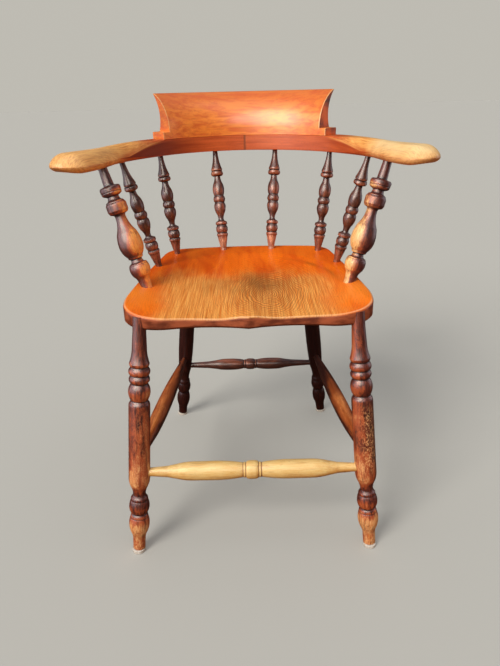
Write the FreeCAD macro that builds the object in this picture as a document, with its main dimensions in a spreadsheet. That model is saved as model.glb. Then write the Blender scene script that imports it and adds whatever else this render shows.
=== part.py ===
import FreeCAD, Part

import math
import os

import Sketcher

# A Victorian captain's chair with turned legs, a saddled seat, an arm bow and a curved crest rail.
# Millimetres. +X is to the right of someone who faces the chair, the chair faces -Y and +Z is up.
# The origin lies on the floor under the middle of the chair's box.

Vector = FreeCAD.Vector
UP = Vector(0, 0, 1)

# How the outline of a turned piece runs from one station to the next.
LINE = "line"
SWELL = "swell"
HOLLOW = "hollow"

# Driving sizes of the joinery, in millimetres and degrees.
SIZES = {
    "seat_height": 445,
    "seat_thickness": 32,
    "seat_half_width": 214.5,
    "seat_front_edge": 210,
    "seat_back_edge": 200,
    "seat_rim_round": 5,
    "seat_underside_chamfer": 5,
    "saddle_depth": 17,
    "saddle_front_depth": 15.5,
    "saddle_front_ridge": 6.5,
    "arm_underside": 650,
    "arm_thickness": 31,
    "arm_width": 50,
    "hand_width": 72,
    "bow_radius": 237,
    "bow_centre": 9.5,
    "bow_turn": 55,
    "side_radius": 369,
    "side_turn": 23.8,
    "hand_radius": 271,
    "hand_turn": 19.4,
    "crest_foot_height": 14,
    "crest_height": 72,
    "crest_foot_depth": 33,
    "crest_waist_depth": 28.5,
    "crest_top_overhang": 46.5,
    "crest_edge_thickness": 4,
    "crest_sweep": 90.8,
    "crest_foot_sweep": 99.6,
    "crest_dowel_diameter": 10,
    "crest_dowel_in_arm": 22,
    "crest_dowel_in_crest": 28,
    "arm_dowel_diameter": 10,
    "arm_dowel_length": 60,
    "front_foot_out": 211.2,
    "front_foot_forward": 259.5,
    "front_leg_out": 180,
    "front_leg_forward": 194,
    "rear_foot_out": 179.8,
    "rear_foot_back": 208,
    "rear_leg_out": 128.2,
    "rear_leg_back": 146.2,
    "leg_tenon": 22,
    "pad_thickness": 6.5,
    "pad_diameter": 23,
    "front_stretcher_height": 156,
    "rear_stretcher_height": 151,
    "side_stretcher_front_height": 181,
    "side_stretcher_rear_height": 175,
    "stretcher_tenon": 13,
    "post_out": 186.7,
    "post_forward": 65,
    "post_tenon": 22,
    "post_run": 416,
    "post_inset": 16,
    "spindle_tenon": 20,
    "arm_tenon": 18,
    "back_spindle_out": 52.6,
    "back_spindle_back": 170.6,
    "back_spindle_run": 67.8,
    "back_spindle_inset": 5,
    "corner_spindle_out": 153.3,
    "corner_spindle_back": 146.8,
    "corner_spindle_run": 202.3,
    "corner_spindle_inset": 5,
    "side_spindle_out": 180.5,
    "side_spindle_back": 56.5,
    "side_spindle_run": 335.5,
    "side_spindle_inset": 13,
    "shoulder": 4,
}

# Turned patterns. Each station has its name, its share of the length that shows, its diameter in
# millimetres and how the outline runs on to the next station. Legs, posts and spindles are read from
# the lower end upwards, stretchers from their middle to one end.
FRONT_LEG = (
    ("toe", 0.0, 21.6, LINE),
    ("ankle", 0.062, 22.4, HOLLOW),
    ("foot_flare", 0.093, 28.0, SWELL),
    ("foot", 0.140, 36.6, SWELL),
    ("foot_line", 0.168, 32.8, LINE),
    ("foot_groove", 0.171, 31.2, LINE),
    ("foot_band", 0.174, 31.8, SWELL),
    ("foot_top", 0.186, 27.6, LINE),
    ("foot_neck", 0.190, 26.0, LINE),
    ("ring_edge", 0.197, 31.4, SWELL),
    ("ring", 0.222, 36.2, SWELL),
    ("ring_line", 0.249, 31.8, LINE),
    ("ring_groove", 0.253, 30.0, LINE),
    ("ring_band", 0.257, 30.6, SWELL),
    ("ring_top", 0.269, 24.8, LINE),
    ("ring_neck", 0.276, 22.2, HOLLOW),
    ("shaft_flare", 0.315, 30.0, SWELL),
    ("shaft_foot", 0.358, 37.6, LINE),
    ("shaft_top", 0.682, 36.8, SWELL),
    ("shaft_shoulder", 0.698, 31.6, LINE),
    ("ball_groove", 0.704, 29.0, SWELL),
    ("ball", 0.742, 37.6, SWELL),
    ("ball_top", 0.775, 28.6, LINE),
    ("disc_foot", 0.780, 30.4, SWELL),
    ("disc", 0.793, 35.6, SWELL),
    ("disc_top", 0.806, 32.0, LINE),
    ("disc_groove", 0.810, 29.8, LINE),
    ("bead_foot", 0.814, 33.4, SWELL),
    ("bead", 0.826, 36.6, SWELL),
    ("bead_top", 0.841, 32.4, LINE),
    ("bead_neck", 0.846, 29.8, LINE),
    ("flare_lip", 0.852, 32.8, LINE),
    ("flare", 0.860, 34.4, HOLLOW),
    ("throat", 0.925, 25.0, LINE),
    ("top", 1.0, 22.4, LINE),
)
REAR_LEG = (
    ("toe", 0.0, 20.5, LINE),
    ("ankle", 0.045, 21.0, HOLLOW),
    ("foot_flare", 0.082, 25.6, SWELL),
    ("foot", 0.128, 32.0, SWELL),
    ("foot_top", 0.172, 25.4, LINE),
    ("foot_neck", 0.179, 22.6, LINE),
    ("ring_edge", 0.188, 27.6, SWELL),
    ("ring", 0.218, 31.8, SWELL),
    ("ring_line", 0.243, 28.6, LINE),
    ("ring_groove", 0.247, 27.0, LINE),
    ("ring_band", 0.251, 27.8, SWELL),
    ("ring_top", 0.271, 23.4, LINE),
    ("ring_neck", 0.280, 21.8, HOLLOW),
    ("shaft_flare", 0.342, 29.0, SWELL),
    ("shaft", 0.530, 34.6, SWELL),
    ("top", 1.0, 27.0, LINE),
)
ARM_POST = (
    ("foot", 0.0, 20.6, LINE),
    ("stem", 0.040, 22.0, HOLLOW),
    ("bulb_flare", 0.095, 31.6, SWELL),
    ("bulb", 0.152, 37.6, SWELL),
    ("bulb_rim", 0.186, 34.6, LINE),
    ("rim_line", 0.190, 32.8, LINE),
    ("rim_band", 0.194, 33.4, LINE),
    ("rim_band_top", 0.202, 30.2, HOLLOW),
    ("bulb_neck", 0.222, 21.0, LINE),
    ("groove", 0.235, 19.4, LINE),
    ("fillet_low", 0.244, 26.4, LINE),
    ("fillet_high", 0.262, 28.2, SWELL),
    ("vase", 0.360, 43.8, SWELL),
    ("vase_mid", 0.468, 35.4, HOLLOW),
    ("vase_neck", 0.604, 18.8, LINE),
    ("cup", 0.618, 20.6, LINE),
    ("ring_foot", 0.628, 32.2, LINE),
    ("ring_low", 0.650, 37.0, LINE),
    ("ring_high", 0.697, 37.2, SWELL),
    ("ring_line", 0.715, 34.0, LINE),
    ("ring_groove", 0.719, 32.2, LINE),
    ("ring_band", 0.723, 32.8, LINE),
    ("ring_band_top", 0.731, 29.4, HOLLOW),
    ("ring_neck", 0.754, 20.8, LINE),
    ("disc_neck", 0.768, 19.8, LINE),
    ("disc_foot", 0.776, 28.0, LINE),
    ("disc_low", 0.786, 35.0, LINE),
    ("disc_line", 0.800, 36.6, LINE),
    ("disc_groove", 0.804, 35.2, LINE),
    ("disc_band", 0.808, 37.0, LINE),
    ("disc_high", 0.838, 37.2, LINE),
    ("disc_top", 0.850, 33.0, LINE),
    ("cone", 0.856, 18.6, LINE),
    ("top", 1.0, 15.6, LINE),
)
SPINDLE = (
    ("foot", 0.0, 12.6, LINE),
    ("cone", 0.138, 22.0, LINE),
    ("collar", 0.145, 24.2, LINE),
    ("collar_top", 0.163, 24.2, LINE),
    ("ball_groove", 0.170, 20.2, SWELL),
    ("ball", 0.211, 25.6, SWELL),
    ("ball_top", 0.249, 20.0, LINE),
    ("ring_low", 0.259, 25.2, LINE),
    ("ring_high", 0.281, 25.0, LINE),
    ("ring_top", 0.298, 13.2, LINE),
    ("low_neck", 0.311, 11.4, HOLLOW),
    ("low_vase_flare", 0.368, 17.4, SWELL),
    ("low_vase", 0.440, 25.2, SWELL),
    ("low_vase_top", 0.479, 20.2, SWELL),
    ("bead", 0.513, 25.4, SWELL),
    ("bead_top", 0.546, 20.0, SWELL),
    ("high_vase", 0.609, 25.2, SWELL),
    ("high_vase_flare", 0.683, 17.2, HOLLOW),
    ("high_neck", 0.740, 12.8, LINE),
    ("cap_low", 0.749, 23.4, LINE),
    ("cap", 0.763, 26.6, LINE),
    ("cap_top", 0.784, 25.0, LINE),
    ("cap_groove", 0.791, 20.0, LINE),
    ("cone_lip", 0.797, 23.8, LINE),
    ("cone_foot", 0.812, 23.6, HOLLOW),
    ("cone_top", 0.985, 10.4, LINE),
    ("top", 1.0, 10.2, LINE),
)
FRONT_STRETCHER = (
    ("middle", 0.0, 32.4, LINE),
    ("bead", 0.022, 32.2, SWELL),
    ("bead_end", 0.058, 28.6, LINE),
    ("groove", 0.063, 25.2, LINE),
    ("band", 0.068, 27.2, LINE),
    ("band_end", 0.082, 27.2, LINE),
    ("outer_groove", 0.088, 24.8, LINE),
    ("swell_end", 0.102, 26.2, SWELL),
    ("swell", 0.360, 33.4, LINE),
    ("swell_out", 0.570, 33.0, SWELL),
    ("shoulder", 0.735, 26.0, LINE),
    ("cone", 0.830, 19.4, LINE),
    ("end", 1.0, 15.4, LINE),
)
REAR_STRETCHER = (
    ("middle", 0.0, 26.6, LINE),
    ("bead", 0.022, 26.4, SWELL),
    ("bead_end", 0.066, 24.0, LINE),
    ("groove", 0.074, 20.6, LINE),
    ("band", 0.080, 22.4, LINE),
    ("band_end", 0.100, 22.4, LINE),
    ("outer_groove", 0.108, 20.0, LINE),
    ("swell_end", 0.124, 22.4, SWELL),
    ("swell", 0.310, 27.8, LINE),
    ("swell_out", 0.400, 27.4, SWELL),
    ("shoulder", 0.570, 21.4, LINE),
    ("cone", 0.700, 16.6, LINE),
    ("end", 1.0, 12.4, LINE),
)
SIDE_STRETCHER = (
    ("front", 0.0, 13.2, LINE),
    ("front_cone", 0.090, 19.0, LINE),
    ("front_taper", 0.180, 25.0, SWELL),
    ("swell", 0.400, 30.0, SWELL),
    ("rear_taper", 0.780, 22.2, LINE),
    ("rear_cone", 0.900, 17.0, LINE),
    ("end", 1.0, 13.2, LINE),
)
PATTERNS = {
    "front_leg": FRONT_LEG,
    "rear_leg": REAR_LEG,
    "arm_post": ARM_POST,
    "spindle": SPINDLE,
    "front_stretcher": FRONT_STRETCHER,
    "rear_stretcher": REAR_STRETCHER,
    "side_stretcher": SIDE_STRETCHER,
}

SHEET = "Sizes"
MEASURES = "Measures"

doc = FreeCAD.newDocument("captains_chair")
sheet = doc.addObject("Spreadsheet::Sheet", SHEET)
measures = doc.addObject("Spreadsheet::Sheet", MEASURES)
nodes = {}


def write_sizes():
    """Put every driving size on the sheet under its own name."""
    rows = dict(SIZES)
    for piece, pattern in PATTERNS.items():
        for station, share, diameter, _ in pattern:
            rows[f"{piece}_{station}_share"] = share
            rows[f"{piece}_{station}_diameter"] = diameter
    for row, (name, value) in enumerate(rows.items(), start=1):
        sheet.set(f"A{row}", name.replace("_", " "))
        sheet.set(f"B{row}", str(value))
        sheet.setAlias(f"B{row}", name)
    doc.recompute()


def size(name):
    """A driving size, read back from the sheet."""
    return float(sheet.get(name))


def measure(name, value):
    """Keep a length that follows from the driving sizes, and give the words that refer to it."""
    row = sum(1 for cell in measures.getUsedCells() if cell.startswith("B")) + 1
    measures.set(f"A{row}", name.replace("_", " "))
    measures.set(f"B{row}", f"{value:.6f}")
    measures.setAlias(f"B{row}", name)
    doc.recompute([measures])
    return f"{MEASURES}.{name}"


def plane(body, role):
    """One of a body's own origin planes."""
    return next(part for part in body.Origin.OriginFeatures if part.Role == role)


def new_sketch(body, name, role, offset=0.0):
    """A sketch on one of the body's origin planes, moved along the plane's normal."""
    sketch = body.newObject("Sketcher::SketchObject", name)
    sketch.AttachmentSupport = (plane(body, role), "")
    sketch.MapMode = "FlatFace"
    sketch.AttachmentOffset = FreeCAD.Placement(Vector(0, 0, offset), FreeCAD.Rotation())
    return sketch


def pin_down(sketch, geometry, end, words, values):
    """Hold a sketch point at an across and an up distance that the sheet gives."""
    for kind, word, value in zip(("DistanceX", "DistanceY"), words, values):
        index = sketch.addConstraint(Sketcher.Constraint(kind, -1, 1, geometry, end, value))
        name = f"{kind}_{index}"
        sketch.renameConstraint(index, name)
        sketch.setExpression(f"Constraints.{name}", word)


def lathe_arc(low, high, fat):
    """The arc between two stations that runs along the lathe's axis at its fat or its thin end."""
    ends = sorted((low, high), key=lambda point: point[0], reverse=fat)
    level, other = ends
    rise = other[1] - level[1]
    across = (level[0] ** 2 - other[0] ** 2 - rise ** 2) / (2 * (level[0] - other[0]))
    centre = Vector(across, level[1], 0)
    circle = Part.Circle(centre, UP, abs(level[0] - across))
    start, stop = (low, high) if fat else (high, low)
    angles = [math.atan2(point[1] - centre.y, point[0] - centre.x) for point in (start, stop)]
    if angles[1] < angles[0]:
        angles[1] += 2 * math.pi
    low_end, high_end = (1, 2) if fat else (2, 1)
    level_end = low_end if level is low else high_end
    return Part.ArcOfCircle(circle, *angles), low_end, high_end, level_end


def turned(label, stations):
    """A solid turned about its own +Z axis.

    Each station is its radius and its distance as values, the same two as words for the sheet, and the
    curve to the next station.
    """
    body = doc.addObject("PartDesign::Body", label)
    sketch = new_sketch(body, f"{label}_outline", "XZ_Plane")
    bottom, top = stations[0], stations[-1]
    first = sketch.addGeometry(Part.LineSegment(Vector(0, bottom[1], 0), Vector(bottom[0], bottom[1], 0)))
    sketch.addConstraint(Sketcher.Constraint("PointOnObject", first, 1, -2))
    sketch.addConstraint(Sketcher.Constraint("Horizontal", first))
    last, last_end = first, 2
    for here, there in zip(stations, stations[1:]):
        curve = here[4]
        if curve == LINE or abs(here[0] - there[0]) < 1e-6:
            piece = Part.LineSegment(Vector(here[0], here[1], 0), Vector(there[0], there[1], 0))
            low_end, high_end, level_end = 1, 2, None
        else:
            piece, low_end, high_end, level_end = lathe_arc(here[:2], there[:2], curve == SWELL)
        added = sketch.addGeometry(piece)
        sketch.addConstraint(Sketcher.Constraint("Coincident", last, last_end, added, low_end))
        if level_end is not None:
            sketch.addConstraint(Sketcher.Constraint("Horizontal", added, 3, added, level_end))
        pin_down(sketch, added, high_end, there[2:4], there[:2])
        last, last_end = added, high_end
    lid = sketch.addGeometry(Part.LineSegment(Vector(top[0], top[1], 0), Vector(0, top[1], 0)))
    axis = sketch.addGeometry(Part.LineSegment(Vector(0, top[1], 0), Vector(0, bottom[1], 0)))
    sketch.addConstraint(Sketcher.Constraint("Coincident", last, last_end, lid, 1))
    sketch.addConstraint(Sketcher.Constraint("Coincident", lid, 2, axis, 1))
    sketch.addConstraint(Sketcher.Constraint("Coincident", axis, 2, first, 1))
    sketch.addConstraint(Sketcher.Constraint("PointOnObject", lid, 2, -2))
    sketch.addConstraint(Sketcher.Constraint("Horizontal", lid))
    pin_down(sketch, first, 2, bottom[2:4], bottom[:2])
    solid = body.newObject("PartDesign::Revolution", f"{label}_turning")
    solid.Profile = sketch
    solid.ReferenceAxis = (sketch, ["V_Axis"])
    solid.Angle = 360
    body.Tip = solid
    return body


def stand_along(item, low, high):
    """Place an item that was made along +Z so that it runs from one point towards another."""
    item.Placement = FreeCAD.Placement(low, FreeCAD.Rotation(UP, high - low))


def upright_stations(label, piece, length, lower, upper):
    """Stations of a piece that is read from one end to the other, between a tenon and a tenon or the floor."""
    shoulder = size("shoulder")
    span = measure(f"{label}_length", length)
    lower_length = size(lower) if lower else 0.0
    lower_word = f"{SHEET}.{lower} + " if lower else ""
    pattern = PATTERNS[piece]
    stations = []
    for index, (name, share, diameter, curve) in enumerate(pattern):
        width = f"{SHEET}.{piece}_{name}_diameter / 2"
        height = f"{lower_word}{SHEET}.{piece}_{name}_share * {span}"
        place = lower_length + share * length
        if index == 0 and lower:
            stations.append((diameter / 2, 0.0, width, "0", LINE))
            height = f"{lower_word}{SHEET}.shoulder"
            place = lower_length + shoulder
        if index == len(pattern) - 1:
            height = f"{lower_word}{span} - {SHEET}.shoulder"
            place = lower_length + length - shoulder
            curve = LINE
        stations.append((diameter / 2, place, width, height, curve))
    radius, _, width, _, _ = stations[-1]
    end = f"{lower_word}{span} + {SHEET}.{upper}"
    stations.append((radius, lower_length + length + size(upper), width, end, LINE))
    return stations


def mirrored_stations(label, piece, length):
    """Stations of a stretcher that is the same on both sides of its middle, with a tenon at each end."""
    half = length / 2
    span = measure(f"{label}_half", half)
    middle = size("stretcher_tenon") + half
    middle_word = f"{SHEET}.stretcher_tenon + {span}"
    pattern = PATTERNS[piece]
    outward = []
    for name, share, diameter, curve in pattern:
        width = f"{SHEET}.{piece}_{name}_diameter / 2"
        outward.append((diameter / 2, share * half, width, f"{SHEET}.{piece}_{name}_share * {span}", curve))
    radius, _, width, _, _ = outward.pop()
    outward.append((radius, half - size("shoulder"), width, f"{span} - {SHEET}.shoulder", LINE))
    outward.append((radius, half + size("stretcher_tenon"), width, f"{span} + {SHEET}.stretcher_tenon", LINE))
    left = []
    for nearer, (radius, reach, width, word, _) in reversed(list(zip(outward, outward[1:]))):
        left.append((radius, middle - reach, width, f"{middle_word} - ({word})", nearer[4]))
    left[0] = left[0][:3] + ("0", LINE)
    right = [(radius, middle + reach, width, f"{middle_word} + ({word})", curve)
             for radius, reach, width, word, curve in outward]
    return left + right


def cylinder(label, radius_word, length_word, low, high):
    """A round bar or socket that runs from one point towards another."""
    bar = doc.addObject("Part::Cylinder", label)
    bar.setExpression("Radius", radius_word)
    bar.setExpression("Height", length_word)
    stand_along(bar, low, high)
    return bar


def cut(label, base, tools):
    """The base with every tool cut away, as a piece of the chair."""
    tool = doc.addObject("Part::Compound", f"{label}_cutters")
    tool.Links = tools
    piece = doc.addObject("Part::Cut", f"{label}_cut")
    piece.Base = base
    piece.Tool = tool
    piece.Refine = False
    return piece


def keep(label, piece):
    """Register a finished piece of the chair under its own name."""
    nodes[label] = piece
    return piece


def between(low, high, height):
    """The point of a line at a given height above the floor."""
    share = (height - low.z) / (high.z - low.z)
    return low + (high - low) * share


def pattern_radius(piece, share):
    """Radius of a turned pattern at a share of its length, read between the nearest stations."""
    stations = [(at, size(f"{piece}_{name}_diameter") / 2) for name, at, _, _ in PATTERNS[piece]]
    for (low, low_radius), (high, high_radius) in zip(stations, stations[1:]):
        if low <= share <= high:
            return low_radius + (high_radius - low_radius) * (share - low) / (high - low)
    return stations[-1][1]


# Lines of the legs, posts and spindles.

def leg_line(end, side):
    """Floor point and seat point of one leg's axis; side is -1 for left and 1 for right."""
    forward = -1 if end == "front" else 1
    reach = "forward" if end == "front" else "back"
    under_seat = size("seat_height") - size("seat_thickness")
    foot = Vector(side * size(f"{end}_foot_out"), forward * size(f"{end}_foot_{reach}"), 0)
    seat = Vector(side * size(f"{end}_leg_out"), forward * size(f"{end}_leg_{reach}"), under_seat)
    return foot, seat


def bow_point(run, off_middle=0.0):
    """Point and outward direction on the bow's middle line, for the right arm.

    The line starts at the middle of the back and has three arcs: the round back, the straighter side,
    and the hand, which curls outwards.
    """
    turns = (
        (size("bow_radius"), size("bow_turn"), 1),
        (size("side_radius"), size("side_turn"), 1),
        (size("hand_radius"), size("hand_turn"), -1),
    )
    point = Vector(0, size("bow_centre") + size("bow_radius"), 0)
    heading = 0.0
    for index, (radius, turn, way) in enumerate(turns):
        arc = radius * math.radians(turn)
        outward = Vector(math.sin(heading), math.cos(heading), 0)
        centre = point - outward * radius * way
        last = index == len(turns) - 1
        angle = min(run, arc) / radius if not last else run / radius
        heading += way * angle
        outward = Vector(math.sin(heading), math.cos(heading), 0)
        point = centre + outward * radius * way
        run -= arc
        if run <= 0 or last:
            break
    return point + outward * off_middle, outward


def bow_length():
    """Length of the bow's middle line up to the centre of the hand."""
    lengths = (
        size("bow_radius") * math.radians(size("bow_turn")),
        size("side_radius") * math.radians(size("side_turn")),
        size("hand_radius") * math.radians(size("hand_turn")),
    )
    return sum(lengths)


def upright_line(name, side):
    """Seat point and arm point of a post's or spindle's axis."""
    along = -size(f"{name}_forward") if name == "post" else size(f"{name}_back")
    low = Vector(side * size(f"{name}_out"), along, size("seat_height"))
    point, _ = bow_point(size(f"{name}_run"), -size(f"{name}_inset"))
    high = Vector(side * point.x, point.y, size("arm_underside"))
    return low, high


def socket(label, piece, end, low, high, tenon):
    """Cutter for a tenon that enters at one end of a line, with room for the tilt above the mouth."""
    name = PATTERNS[piece][0 if end == "low" else -1][0]
    radius = f"{SHEET}.{piece}_{name}_diameter / 2"
    direction = (high - low).normalize()
    reach = size(tenon)
    length = f"{SHEET}.{tenon} + 3 * {SHEET}.shoulder"
    if end == "low":
        start = low - direction * reach
        return cylinder(label, radius, length, start, start + direction)
    start = high + direction * reach
    return cylinder(label, radius, length, start, start - direction)


# The turned pieces.

def build_leg(end, side, name):
    """One leg, cut level above its pad, with sockets for the stretchers that enter it."""
    foot, seat = leg_line(end, side)
    piece = f"{end}_leg"
    length = (seat - foot).Length
    label = f"leg_{end}_{name}"
    body = turned(f"{label}_turned", upright_stations(label, piece, length, None, "leg_tenon"))
    stand_along(body, foot, seat)
    floor = doc.addObject("Part::Box", f"{label}_floor")
    for side_name in ("Length", "Width"):
        floor.setExpression(side_name, f"{SHEET}.pad_diameter * 3")
    floor.setExpression("Height", f"{SHEET}.pad_thickness * 2")
    reach = size("pad_diameter") * 1.5
    floor.Placement = FreeCAD.Placement(
        Vector(foot.x - reach, foot.y - reach, -size("pad_thickness")), FreeCAD.Rotation())
    cutters = [floor]
    for stretcher in (f"{end}_stretcher", "side_stretcher"):
        near, far = stretcher_run(stretcher, end, side)
        inward = (far - near).normalize()
        depth = leg_radius(end, stretcher) - size("stretcher_tenon")
        cutters.append(cylinder(f"{label}_{stretcher}_socket", f"{SHEET}.{stretcher}_end_diameter / 2",
                                f"{SHEET}.stretcher_tenon + 3 * {SHEET}.shoulder",
                                near + inward * depth, far))
    keep(label, cut(label, body, cutters))
    pad = cylinder(f"foot_pad_{end}_{name}_disc", f"{SHEET}.pad_diameter / 2", f"{SHEET}.pad_thickness",
                   Vector(foot.x, foot.y, 0), Vector(foot.x, foot.y, 1))
    keep(f"foot_pad_{end}_{name}", pad)


def stretcher_height(stretcher, end):
    """Height above the floor at which a stretcher enters a front or a rear leg."""
    if stretcher == "side_stretcher":
        return size(f"side_stretcher_{end}_height")
    return size(f"{stretcher}_height")


def axis_point(end, side, stretcher):
    """Where a stretcher's axis meets a leg's axis."""
    return between(*leg_line(end, side), stretcher_height(stretcher, end))


def leg_radius(end, stretcher):
    """Radius of a leg where a stretcher enters it."""
    _, seat = leg_line(end, 1)
    return pattern_radius(f"{end}_leg", stretcher_height(stretcher, end) / seat.z)


def other_leg(stretcher, end, side):
    """End and side of the leg at the far end of a stretcher."""
    if stretcher == "side_stretcher":
        return ("rear" if end == "front" else "front"), side
    return end, -side


def stretcher_run(stretcher, end, side):
    """Point on a leg's axis where a stretcher starts, and the point on the other leg's axis that it runs to."""
    return axis_point(end, side, stretcher), axis_point(*other_leg(stretcher, end, side), stretcher)


def build_stretcher(stretcher, end, side, label):
    """A stretcher from one leg to another, whose tenons stop short of the two leg axes."""
    start, stop = stretcher_run(stretcher, end, side)
    direction = (stop - start).normalize()
    near = leg_radius(end, stretcher)
    far = leg_radius(other_leg(stretcher, end, side)[0], stretcher)
    length = (stop - start).Length - near - far
    if stretcher == "side_stretcher":
        stations = upright_stations(label, stretcher, length, "stretcher_tenon", "stretcher_tenon")
    else:
        stations = mirrored_stations(label, stretcher, length)
    body = turned(label, stations)
    stand_along(body, start + direction * (near - size("stretcher_tenon")), stop)
    keep(label, body)


def build_upright(name, piece, side, label, tenon):
    """An arm post or spindle with a round tenon at each end."""
    low, high = upright_line(name, side)
    length = (high - low).Length
    body = turned(label, upright_stations(label, piece, length, tenon, "arm_tenon"))
    direction = (high - low).normalize()
    stand_along(body, low - direction * size(tenon), high)
    keep(label, body)


# The seat.

def arc_through(start, middle, stop):
    """Arc from one sketch point to another through a third."""
    return Part.Arc(Vector(*start, 0), Vector(*middle, 0), Vector(*stop, 0))


# Right half of the seat's edge as arcs that run smoothly into each other, from the crease at the middle of
# the front to the middle of the back. Each has its radius, as a share of the half width, and the heading at
# its end. The long side and back arcs have no radius of their own: theirs close the outline.
FIRST_HEADING = 16
SEAT_ARCS = (
    ("hollow", 1.28, -11),
    ("lobe", 0.42, 20),
    ("corner", 0.25, 80),
    ("hip", 0.90, 95),
    ("side", None, 99),
    ("back_corner", 0.226, 172),
    ("back", None, 180),
)


def arc_step(start, stop, radius=1.0):
    """How far an arc carries a point whose heading turns from one angle to another, in degrees."""
    first, last = math.radians(start), math.radians(stop)
    way = radius if stop > start else -radius
    return way * (math.sin(last) - math.sin(first)), way * (math.cos(first) - math.cos(last))


def seat_outline():
    """Arcs of the seat's edge, the right half from the front and then the left half."""
    width = size("seat_half_width")
    reach = [0.0, size("seat_front_edge") + size("seat_back_edge")]
    heading = FIRST_HEADING
    rows = []
    for _, share, turned_to in SEAT_ARCS:
        rows.append([heading, turned_to, None if share is None else share * width])
        if share is not None:
            across, along = arc_step(*rows[-1])
            reach = [reach[0] - across, reach[1] - along]
        heading = turned_to
    side, back = [row for row in rows if row[2] is None]
    (side_x, side_y), (back_x, back_y) = arc_step(*side[:2]), arc_step(*back[:2])
    spread = side_x * back_y - back_x * side_y
    side[2] = (reach[0] * back_y - back_x * reach[1]) / spread
    back[2] = (side_x * reach[1] - reach[0] * side_y) / spread
    arcs = []
    for mirror in (1, -1):
        start = (0.0, -size("seat_front_edge"))
        for heading, turned_to, radius in rows:
            halfway = arc_step(heading, (heading + turned_to) / 2, radius)
            whole = arc_step(heading, turned_to, radius)
            middle, stop = ((start[0] + mirror * across, start[1] + along) for across, along in (halfway, whole))
            arcs.append(arc_through(start, middle, stop))
            start = stop
    return arcs


def level_edges(shape, height):
    """Names of a shape's edges that lie level at a given height."""
    names = []
    for index, edge in enumerate(shape.Edges, start=1):
        if all(abs(vertex.Z - height) < 1e-6 for vertex in edge.Vertexes):
            names.append(f"Edge{index}")
    return names


def build_seat():
    """The seat board with its rounded rim and saddled top, and a socket for each upright and leg."""
    body = doc.addObject("PartDesign::Body", "seat_board")
    outline = new_sketch(body, "seat_outline", "XY_Plane")
    for arc in seat_outline():
        outline.addGeometry(arc)
    pad = body.newObject("PartDesign::Pad", "seat_blank")
    pad.Profile = outline
    pad.setExpression("Length", f"{SHEET}.seat_thickness")
    doc.recompute()
    thickness = size("seat_thickness")
    underside = body.newObject("PartDesign::Chamfer", "seat_underside")
    underside.Base = (pad, level_edges(pad.Shape, 0.0))
    underside.setExpression("Size", f"{SHEET}.seat_underside_chamfer")
    doc.recompute()
    rounded = body.newObject("PartDesign::Fillet", "seat_rim")
    rounded.Base = (underside, level_edges(underside.Shape, thickness))
    rounded.setExpression("Radius", f"{SHEET}.seat_rim_round")
    doc.recompute()
    before = rounded.Shape.Volume
    sections = saddle_sections(body)
    saddle = body.newObject("PartDesign::SubtractiveLoft", "seat_saddle")
    saddle.Profile = sections[0]
    saddle.Sections = sections[1:]
    saddle.Ruled = False
    body.Tip = saddle
    body.Placement = FreeCAD.Placement(Vector(0, 0, size("seat_height") - thickness), FreeCAD.Rotation())
    doc.recompute()
    assert saddle.Shape.Volume < before - 1000, "the saddle cuts nothing"
    cutters = []
    for side, name in ((-1, "left"), (1, "right")):
        for end in ("front", "rear"):
            foot, seat = leg_line(end, side)
            cutters.append(socket(f"seat_socket_{end}_leg_{name}", f"{end}_leg", "high", foot, seat, "leg_tenon"))
        low, high = upright_line("post", side)
        cutters.append(socket(f"seat_socket_post_{name}", "arm_post", "low", low, high, "post_tenon"))
        for spindle in ("back", "corner", "side"):
            low, high = upright_line(f"{spindle}_spindle", side)
            cutters.append(socket(f"seat_socket_{spindle}_{name}", "spindle", "low", low, high, "spindle_tenon"))
    keep("seat", cut("seat", body, cutters))


# The saddle's cutter starts this far in front of the seat and stands this far above it.
SADDLE_LEAD = 6
SADDLE_ROOF = 8


def saddle_sections(body):
    """Sketches across the seat, from front to back, whose loft scoops the saddle."""
    width = size("seat_half_width")
    front = -size("seat_front_edge")
    length = size("seat_front_edge") + size("seat_back_edge")
    depth = size("saddle_depth")
    lip = size("saddle_front_depth")
    ridge = size("saddle_front_ridge")
    # place along the seat, half width, depth at the middle, depth beside the middle, where that lies
    rows = (
        (front - SADDLE_LEAD, 0.975 * width, lip - ridge, lip, 0.33 * width),
        (front + 0.20 * length, 0.90 * width, 0.92 * depth, 1.02 * depth, 0.35 * width),
        (front + 0.42 * length, 0.76 * width, depth, 0.86 * depth, 0.38 * width),
        (front + 0.64 * length, 0.66 * width, 0.70 * depth, 0.55 * depth, 0.34 * width),
        (front + 0.80 * length, 0.48 * width, 0.22 * depth, 0.17 * depth, 0.24 * width),
        (front + 0.88 * length, 0.34 * width, 0.03 * depth, 0.02 * depth, 0.17 * width),
    )
    top = size("seat_thickness")
    sketches = []
    for index, (along, half, middle, beside, where) in enumerate(rows):
        sketch = new_sketch(body, f"saddle_section_{index}", "XZ_Plane", -along)
        left, centre, right = (-half, top), (0.0, top - middle), (half, top)
        sketch.addGeometry(arc_through(left, (-where, top - beside), centre))
        sketch.addGeometry(arc_through(centre, (where, top - beside), right))
        roof = top + SADDLE_ROOF
        for start, stop in ((right, (half, roof)), ((half, roof), (-half, roof)), ((-half, roof), left)):
            sketch.addGeometry(Part.LineSegment(Vector(*start, 0), Vector(*stop, 0)))
        sketches.append(sketch)
    return sketches


# The arm bow and the crest rail.

def smooth(value, low, high):
    """Rises gently from 0 to 1 as the value goes from low to high."""
    share = min(1.0, max(0.0, (value - low) / (high - low)))
    return share * share * (3 - 2 * share)


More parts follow.
